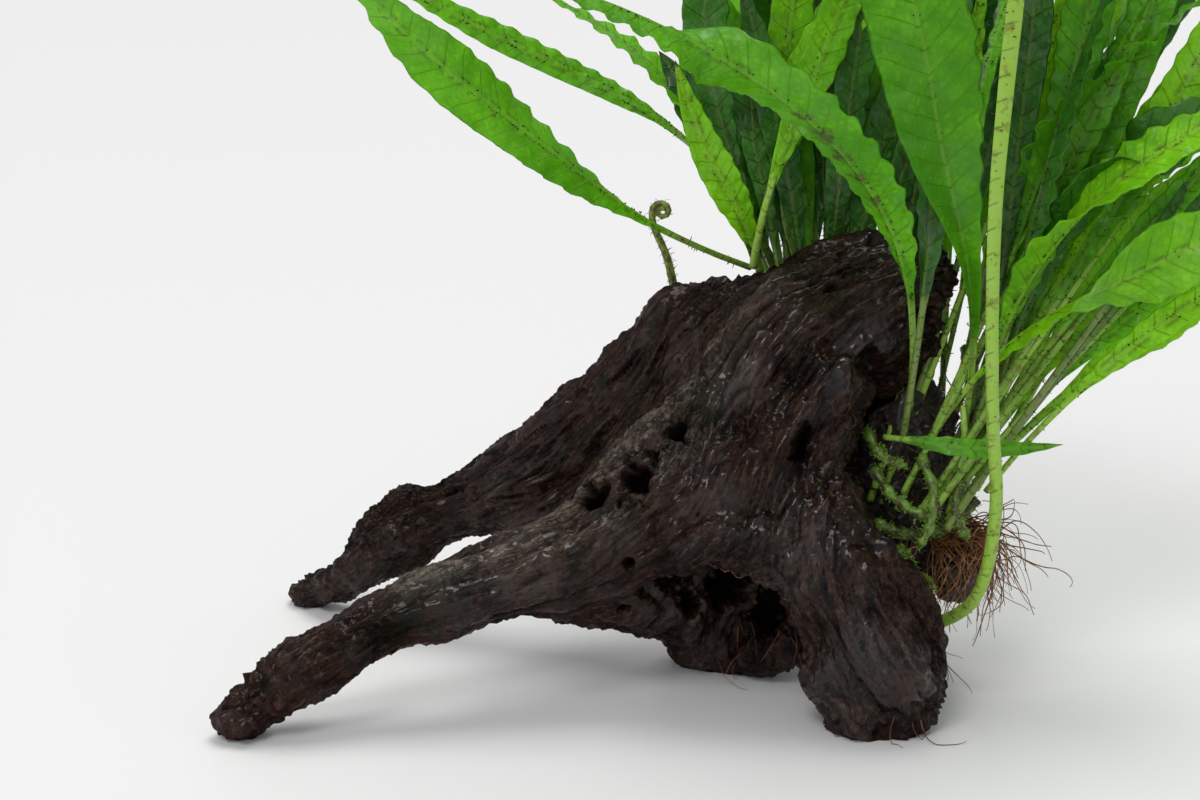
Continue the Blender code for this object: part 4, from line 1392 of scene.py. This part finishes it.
@dataclass
class Fernery:
    """Every frond of the plant."""

    crowd: int = 22  # young fronds in the crown
    fan: int = 16  # in the fan at the right
    reach: int = 13  # on long stalks
    hairs_apart: float = 1.9  # in mm
    leaning: tuple = (((136, 8, 250), 6.6, Leaf.GREEN), ((113, 6, 244), 5.4, Leaf.DARK),
                      ((158, 16, 232), 6.4, Leaf.GREEN), ((176, 10, 214), 6.0, Leaf.BRIGHT))

    def crown_shoots(self, chance: random.Random) -> Iterable[Shoot]:
        """Mostly dark ones, upright behind the crown.

        Args:
            chance: where its numbers come from.

        Returns:
            The shoots, one by one.
        """
        for k in range(self.crowd):
            t = k / (self.crowd - 1)
            x = 42 + 46 * t + chance.uniform(-1, 1)
            y = (27, 36, 43)[k % 3] + chance.uniform(-2, 2)
            lean = (t - 0.45) * 46 + chance.uniform(-14, 14)
            tall = chance.uniform(48, 100)
            leaf = chance.choice((Leaf.DARK, Leaf.DARK, Leaf.DARK, Leaf.GREEN))
            yield Shoot(
                (x, y, 106 + chance.uniform(0, 3)),
                (x + lean, y + chance.uniform(-6, 26), 110 + tall), chance.uniform(3.6, 6.6),
                (-lean * 0.2, chance.uniform(-4, 4), 0), (chance.uniform(-0.7, 0.7), -1, 0.2), leaf, 0.6,
                chance.uniform(0.03, 0.12))

    def fan_shoots(self, chance: random.Random) -> Iterable[Shoot]:
        """From upright to low, down the right side.

        Args:
            chance: where its numbers come from.

        Returns:
            The shoots, one by one.
        """
        for k in range(self.fan):
            t = k / (self.fan - 1)
            x, y = 92 + 8 * t + chance.uniform(-2, 2), 24 - 26 * t + chance.uniform(-4, 4)
            z = 70 - 14 * t
            far = chance.uniform(70, 125)
            turn = math.radians(84 - 52 * t + chance.uniform(-8, 8))
            leaf = chance.choice((Leaf.DARK, Leaf.DARK, Leaf.GREEN, Leaf.BRIGHT))
            yield Shoot(
                (x, y, z), (x + far * math.cos(turn), y + chance.uniform(-12, 30),
                            z + far * math.sin(turn) + 8), chance.uniform(3.2, 6.5),
                (-12 * math.sin(turn) * t, 0, 8 * t), (chance.uniform(-0.7, 0.4), -1, 0.4), leaf, 0.75,
                chance.uniform(0.25, 0.4))

    def stalked_shoots(self, chance: random.Random) -> Iterable[Shoot]:
        """On long bare stalks from the low stems.

        Args:
            chance: where its numbers come from.

        Returns:
            The shoots, one by one.
        """
        for k in range(self.reach):
            t = k / (self.reach - 1)
            base = (72 + 21 * t + chance.uniform(-1.5, 1.5), 2 - 12 * t + chance.uniform(-5, 3),
                    53 - 3 * t + chance.uniform(-4, 6))
            turn = math.radians(80 - 34 * t + chance.uniform(-5, 5))
            far = chance.uniform(120, 165)
            yield Shoot(
                base, (base[0] + far * math.cos(turn), base[1] + chance.uniform(8, 34),
                       base[2] + far * math.sin(turn)), chance.uniform(3.0, 5.0),
                (6 - 10 * t, 0, -4 + 8 * t), (chance.uniform(-0.7, 0.2), -1, 0.3),
                chance.choice((Leaf.GREEN, Leaf.GREEN, Leaf.DARK, Leaf.BRIGHT)),
                chance.uniform(0.75, 1.1), chance.uniform(0.45, 0.56))

    def shoots(self) -> list[Shoot]:
        """The young fronds that close the crown and the fan at the right.

        Returns:
            All of them.
        """
        chance = random.Random(12)
        young = [*self.crown_shoots(chance), *self.fan_shoots(chance), *self.stalked_shoots(chance)]
        return young + [Shoot((100, 6, 62), tip, half, (4, 0, 4), (-0.3, -1, 0.3), leaf, 0.8, 0.28)
                        for tip, half, leaf in self.leaning]

    def build(self) -> None:
        """Dresses every frond solid, adds the young ones, then the rootlets."""
        slots = {s["node"]: s["material_slot"] for s in frame["record"]["subparts"]}
        fronds = []
        for k, node in enumerate(sorted(n for n in frame["nodes"] if n.startswith("frond_"))):
            slot = slots[node]
            leaf = Leaf(slot) if slot in {v.value for v in Leaf} else Leaf.BRIGHT
            spine = spine_of(node, 0 if node == "frond_tall" else 4)
            fronds.append(Frond(node.replace("frond", "fern_frond"), spine, leaf, slot, k + 3,
                                nodes=(node,), **LOOKS.get(node, {})))
        for k, shoot in enumerate(self.shoots()):
            fronds.append(Frond(f"young_frond_{k + 1}", shoot.spine(), shoot.leaf, shoot.leaf.value,
                                k + 90, wave=0.8, period=6.5, scallop=0.06, widths=shoot.widths()))
        for frond in fronds:
            frond.build()
        chance = random.Random(5)
        runs = [run for frond in fronds for run in frond.rootlets(chance, self.hairs_apart)]
        adopt(strings("frond_rootlets", runs), ROOTLET.material(), "soil")


# ------------------------------------------------------------------ stems, roots and moss


@dataclass
class Stem:
    """A creeping stem or shoot, regrown finely over its solid and roughened."""

    node: str
    finish: Skin
    voxel: float = 0.00042
    bump: float = 0.35
    seed: int = 1
    slot: str = "rhizome_green"
    grow: float = 0.0  # how much thicker than its solid it is, in mm

    def build(self) -> bpy.types.Object:
        """The stem.

        Returns:
            The finished piece.
        """
        stem = regrown(self.node + "_skin", merged_copy([self.node], self.grow * MM), self.voxel, 3)
        places, normals = positions(stem.data), outward(stem.data)
        q = places / MM
        rough = np.sin(q[:, 0] * 1.7 + self.seed) * np.sin(q[:, 1] * 1.9 + 1) * np.sin(q[:, 2] * 1.5)
        rough += 0.5 * np.sin(q[:, 0] * 4.1) * np.sin(q[:, 1] * 3.7) * np.sin(q[:, 2] * 4.4 + self.seed)
        put(stem.data, places + normals * (rough * self.bump * MM)[:, None])
        return adopt(stem, self.finish.material(), self.slot, [self.node])


@dataclass
class Lump:
    """A matted lump of peat and roots."""

    node: str
    seed: int
    voxel: float = 0.0008
    crumbs: float = 0.45  # in mm
    clods: float = 1.0
    sunk: float = 0.9

    def build(self) -> bpy.types.Object:
        """The lump, much broken up.

        Returns:
            The finished piece.
        """
        lump = regrown(self.node + "_mat", merged_copy([self.node]), self.voxel, 2)
        mesh = lump.data
        places, normals = positions(mesh), outward(mesh)
        chance = np.random.default_rng(self.seed)
        edges = pairs_of(mesh)
        crumb = loosened(chance.standard_normal(len(places)), edges, 3)
        clod = loosened(chance.standard_normal(len(places)), edges, 30)
        move = (self.crumbs * crumb + self.clods * clod - self.sunk) * MM
        put(mesh, places + normals * move[:, None])
        return adopt(lump, PEAT.material(), "soil", [self.node])


@dataclass
class Roots:
    """Wiry roots: round the soil, out of the root ball, over the wood and under the arch."""

    wood: bpy.types.Object
    wiry: int = 210
    matted: int = 200
    step: float = 0.0009
    chance: random.Random = field(default_factory=lambda: random.Random(19))
    clusters: tuple = (  # place, direction, length in mm and number of those that cling
        ((60, -12, 86), (-0.5, -0.3, -1), 22, 4), ((58, -22, 62), (0.3, -0.2, -1), 16, 4),
        ((34, -20, 34), (-0.2, 0, -1), 18, 6), ((48, -26, 36), (-1, 0, -0.6), 22, 5),
        ((22, -16, 34), (0.4, 0, -1), 16, 4), ((84, -20, 24), (0.5, -0.3, -1), 16, 5),
        ((86, -8, 36), (0.2, -0.5, -1), 20, 4), ((70, 2, 70), (-0.3, -0.4, -1), 16, 4),
    )
    hanging: tuple = (((36, 4, 14), 7), ((46, -10, 22), 6), ((88, -30, 20), 6), ((78, -44, 3), 3))
    tree: BVHTree = field(init=False, repr=False)

    def __post_init__(self) -> None:
        """Readies the wood that some of them cling to."""
        self.tree = BVHTree.FromObject(self.wood, bpy.context.evaluated_depsgraph_get())

    def jitter(self, size: float) -> Vector:
        """A small step in any direction."""
        return Vector([self.chance.uniform(-size, size) for _ in range(3)])

    def wander(self, start: Vector, way: Vector, length: float, bend: float, pull: Vector,
               radius: float) -> tuple:
        """A root that wanders.

        Args:
            start: where it begins.
            way: its first direction.
            length: how long it is.
            bend: how much it turns at each step.
            pull: a slight steady turn, such as down.
            radius: its thickness at the start.

        Returns:
            Its points and radii.
        """
        points, way = [start.copy()], way.normalized()
        curl = self.jitter(1)
        count = max(4, int(length / self.step))
        for k in range(count):
            if k % 5 == 0:
                curl = curl * 0.4 + self.jitter(1)
            way = (way + curl * bend + pull).normalized()
            point = points[-1] + way * self.step
            point.z = max(point.z, radius)
            points.append(point)
        return points, [radius * (1 - 0.6 * k / count) for k in range(count + 1)]

    def clinging(self, start: Vector, way: Vector, length: float, radius: float) -> tuple:
        """A root that keeps to the surface of the wood.

        Args:
            start: where it begins.
            way: its first direction.
            length: how long it is.
            radius: its thickness at the start.

        Returns:
            Its points and radii.
        """
        points = []
        at, way = start.copy(), way.normalized()
        count = max(5, int(length / self.step))
        for k in range(count):
            hit, normal, _, _ = self.tree.find_nearest(at)
            points.append(hit + normal * radius * 0.8)
            way = (way + self.jitter(1) * 0.35 - normal * normal.dot(way)).normalized()
            at = hit + way * self.step
        return points, [radius * (1 - 0.6 * k / count) for k in range(count)]

    def round_ball(self) -> list:
        """Down over the root ball from the stems above it.

        Returns:
            The points and radii of each.
        """
        chance, (low, high), roots = self.chance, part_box("root_ball"), []
        for _ in range(self.wiry):
            across, deep = chance.uniform(0.0, 0.8), chance.uniform(0.0, 0.9)
            start = Vector((low.x + across * (high.x - low.x), low.y + deep * (high.y - low.y),
                            high.z + chance.uniform(-3.5, 2.5) * MM))
            way = Vector((chance.uniform(0.2, 1.4) * across, chance.uniform(-0.7, 0.2), 0.1))
            drop = (start.z - low.z + chance.uniform(-8, 4) * MM) * 1.3
            pull = Vector((-0.045 * across, 0, -0.10))
            roots.append(self.wander(start, way, max(drop, 8 * MM), 0.15, pull,
                                     chance.uniform(0.15, 0.3) * MM))
        return roots

    def over_soil(self) -> list:
        """Looped over the soil in the hollow.

        Returns:
            The points and radii of each.
        """
        chance, (low, high), roots = self.chance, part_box("root_clump"), []
        middle, size = (low + high) / 2, (high - low) / 2
        for _ in range(self.matted):
            angle, rise = chance.uniform(-2.2, 1.4), chance.uniform(-0.95, 0.85)
            level = math.sqrt(1 - rise * rise)
            out = Vector((math.cos(angle) * level, math.sin(angle) * level, rise))
            start = middle + out * size * 0.9
            turn = out.cross(self.jitter(1)).normalized()
            roots.append(self.wander(start, turn + out * 0.4, chance.uniform(6, 20) * MM, 0.22,
                                     (middle - start).normalized() * 0.09,
                                     chance.uniform(0.13, 0.3) * MM))
        return roots

    def on_wood(self) -> list:
        """Fine ones that cling to the wood or hang from it.

        Returns:
            The points and radii of each.
        """
        chance, roots = self.chance, []
        for place, way, length, count in self.clusters:
            for _ in range(count):
                start = here(place) + self.jitter(3) * MM
                aim = Vector(way) + self.jitter(0.4)
                roots.append(self.clinging(start, aim, length * chance.uniform(0.5, 1.1) * MM,
                                           chance.uniform(0.12, 0.22) * MM))
        for place, count in self.hanging:
            for _ in range(count):
                start = self.tree.find_nearest(here(place) + self.jitter(5) * MM)[0]
                aim = Vector((chance.uniform(-0.5, 0.9), chance.uniform(-1, 0.2), -0.8))
                roots.append(self.wander(start, aim, chance.uniform(7, 20) * MM, 0.2,
                                         Vector((0, 0, -0.06)), chance.uniform(0.12, 0.2) * MM))
        return roots

    def build(self) -> None:
        """All the roots."""
        adopt(strings("wiry_roots", self.round_ball()), WIRE_ROOT.material(), "soil")
        adopt(strings("matted_roots", self.over_soil()), DARK_ROOT.material(), "soil")
        adopt(strings("hair_roots", self.on_wood()), HAIR_ROOT.material(), "soil")


@dataclass
class Knobs:
    """Knobbly green creeping stems between the stalks, too small for solids of their own."""

    courses: tuple = (
        ((72, -4, 62), (76, -10, 57), (82, -13, 53), (88, -12, 52)),
        ((84, -6, 66), (87, -11, 58), (86, -14, 50), (83, -15, 44)),
        ((94, -8, 60), (93, -12, 52), (96, -13, 46)),
        ((72, -14, 42), (78, -17, 38), (81, -18, 33)),
        ((70, 0, 72), (74, -6, 66), (80, -8, 64)),
    )
    radius: float = 1.7
    stations: int = 22

    def build(self) -> bpy.types.Object:
        """The stems, swelling and shrinking along their length.

        Returns:
            The finished piece.
        """
        runs = []
        for k, course in enumerate(self.courses):
            rows = curved([tuple(here(p)) for p in course], self.stations)
            radii = [self.radius * MM * (0.8 + 0.22 * math.sin(1.3 * j + k))
                     * min(1, (self.stations - j) / 3) for j in range(self.stations)]
            runs.append(([Vector(row) for row in rows], radii))
        return adopt(strings("rhizome_knobs", runs, 8), RHIZOME.material(), "rhizome_green")


@dataclass
class Tufts:
    """Short stiff hairs over a stem: moss leaves, or a fiddlehead's scales."""

    name: str
    over: bpy.types.Object
    count: int
    length: tuple
    thick: float
    finish: Skin
    seed: int
    slot: str = "rhizome_green"
    curl: float = 0.4

    def build(self) -> bpy.types.Object:
        """All of them, spread evenly by chance.

        Returns:
            The finished piece.
        """
        chance = random.Random(self.seed)
        mesh = self.over.data
        places, normals = positions(mesh), outward(mesh)
        runs = []
        for _ in range(self.count):
            k = chance.randrange(len(places))
            start, out = Vector(places[k]), Vector(normals[k])
            out = (out + Vector([chance.uniform(-0.8, 0.8) for _ in range(3)])).normalized()
            bend = Vector([chance.uniform(-1, 1) for _ in range(3)]) * self.curl
            long = chance.uniform(*self.length) * MM
            points = [start, start + out * long * 0.5, start + (out + bend).normalized() * long]
            runs.append((points, (self.thick * MM, self.thick * MM * 0.9, self.thick * MM * 0.15)))
        return adopt(strings(self.name, runs), self.finish.material(), self.slot)


# ------------------------------------------------------------------ studio


@dataclass
class Studio:
    """A pale floor, soft light and the camera."""

    lens: float = 80.0
    distance: float = 0.70
    tilt: float = 16.0  # degrees that the camera looks down
    aim: tuple = (0.0, 0.0, 79.7)  # in the routes' millimetres
    floor_half: float = 8.0  # half the floor's width
    floor_colour: tuple = (0.91, 0.915, 0.915, 1.0)
    air_colour: tuple = (0.985, 0.99, 1.0, 1.0)
    air: float = 0.43  # how strong the light from all round is

    def floor(self) -> None:
        """A wide pale sheet under everything."""
        bm = bmesh.new()
        bmesh.ops.create_grid(bm, x_segments=2, y_segments=2, size=self.floor_half)
        floor = shown("studio_floor", bm)
        g = Graph("studio_white")
        floor.data.materials.append(g.finish(g.surface({
            "Base Color": self.floor_colour, "Roughness": 0.42, "Specular IOR Level": 0.3})))

    def lamp(self, name: str, width: float, way: tuple, strength: float,
             colour: tuple = (1, 1, 1)) -> None:
        """A far soft box.

        Args:
            name: its name.
            width: how wide it looks from the plant, in degrees.
            way: the direction that it stands in.
            strength: its light, in watts per square metre.
            colour: the light's colour.
        """
        light = bpy.data.lights.new(name, "SUN")
        light.angle, light.energy, light.color = math.radians(width), strength, colour
        lamp = bpy.data.objects.new(name, light)
        lamp.rotation_euler = Vector(way).to_track_quat("Z", "Y").to_euler()
        bpy.context.scene.collection.objects.link(lamp)

    def lights(self) -> None:
        """One soft box behind and above, one in front for the gloss, and a wide weak one."""
        self.lamp("soft_overhead", 34.0, (0.10, 0.26, 0.94), 1.30, (1.0, 0.99, 0.97))
        self.lamp("soft_glint", 20.0, (-0.24, -0.56, 0.80), 0.66, (1.0, 0.99, 0.98))
        self.lamp("soft_front", 60.0, (-0.35, -0.85, 0.38), 0.50)

    def camera(self) -> None:
        """The camera, a little above and straight in front."""
        data = bpy.data.cameras.new("camera")
        data.lens, data.sensor_width = self.lens, 36.0
        data.clip_start, data.clip_end = 0.02, 50
        camera = bpy.data.objects.new("camera", data)
        down = math.radians(self.tilt)
        view = Vector((0, math.cos(down), -math.sin(down)))
        camera.location = here(self.aim) - view * self.distance
        camera.rotation_euler = (math.pi / 2 - down, 0, 0)
        bpy.context.scene.collection.objects.link(camera)
        bpy.context.scene.camera = camera

    def build(self) -> None:
        """Floor, light and camera."""
        self.floor()
        world = bpy.data.worlds.new("studio")
        world.use_nodes = True
        backdrop = world.node_tree.nodes["Background"]
        backdrop.inputs["Color"].default_value = self.air_colour
        backdrop.inputs["Strength"].default_value = self.air
        bpy.context.scene.world = world
        self.lights()
        self.camera()
        bpy.context.scene.view_settings.view_transform = "Standard"


# ------------------------------------------------------------------ everything, in order


def main() -> None:
    """Builds the studio and the plant."""
    logging.basicConfig(level=logging.INFO, format="%(name)s %(message)s")
    Studio().build()
    wood = Driftwood().build()
    ferns = Fernery()
    ferns.build()
    Stem("rhizome_back", RHIZOME, seed=1).build()
    Stem("rhizome_side", RHIZOME, seed=2).build()
    low = Stem("rhizome_low", RHIZOME, seed=3).build()
    shoot = Stem("rhizome_shoot", RHIZOME, seed=4).build()
    Stem("young_shoot", YOUNG, bump=0.1, seed=5).build()
    curl = Stem("fiddlehead", CURL, voxel=0.00024, bump=0.05, seed=6, grow=0.3).build()
    Lump("root_clump", 3).build()
    Lump("root_ball", 4).build()
    Tufts("moss_on_shoot", shoot, 420, (0.7, 1.7), 0.16, MOSS, 8).build()
    Tufts("moss_on_stem", low, 260, (0.5, 1.3), 0.14, MOSS, 9).build()
    Tufts("fiddlehead_scales", curl, 130, (0.8, 2.0), 0.07, WIRE_ROOT, 10).build()
    knobs = Knobs().build()
    Tufts("moss_on_knobs", knobs, 700, (0.4, 1.2), 0.13, MOSS, 14).build()
    Roots(wood).build()


if __name__ == "__main__":
    main()
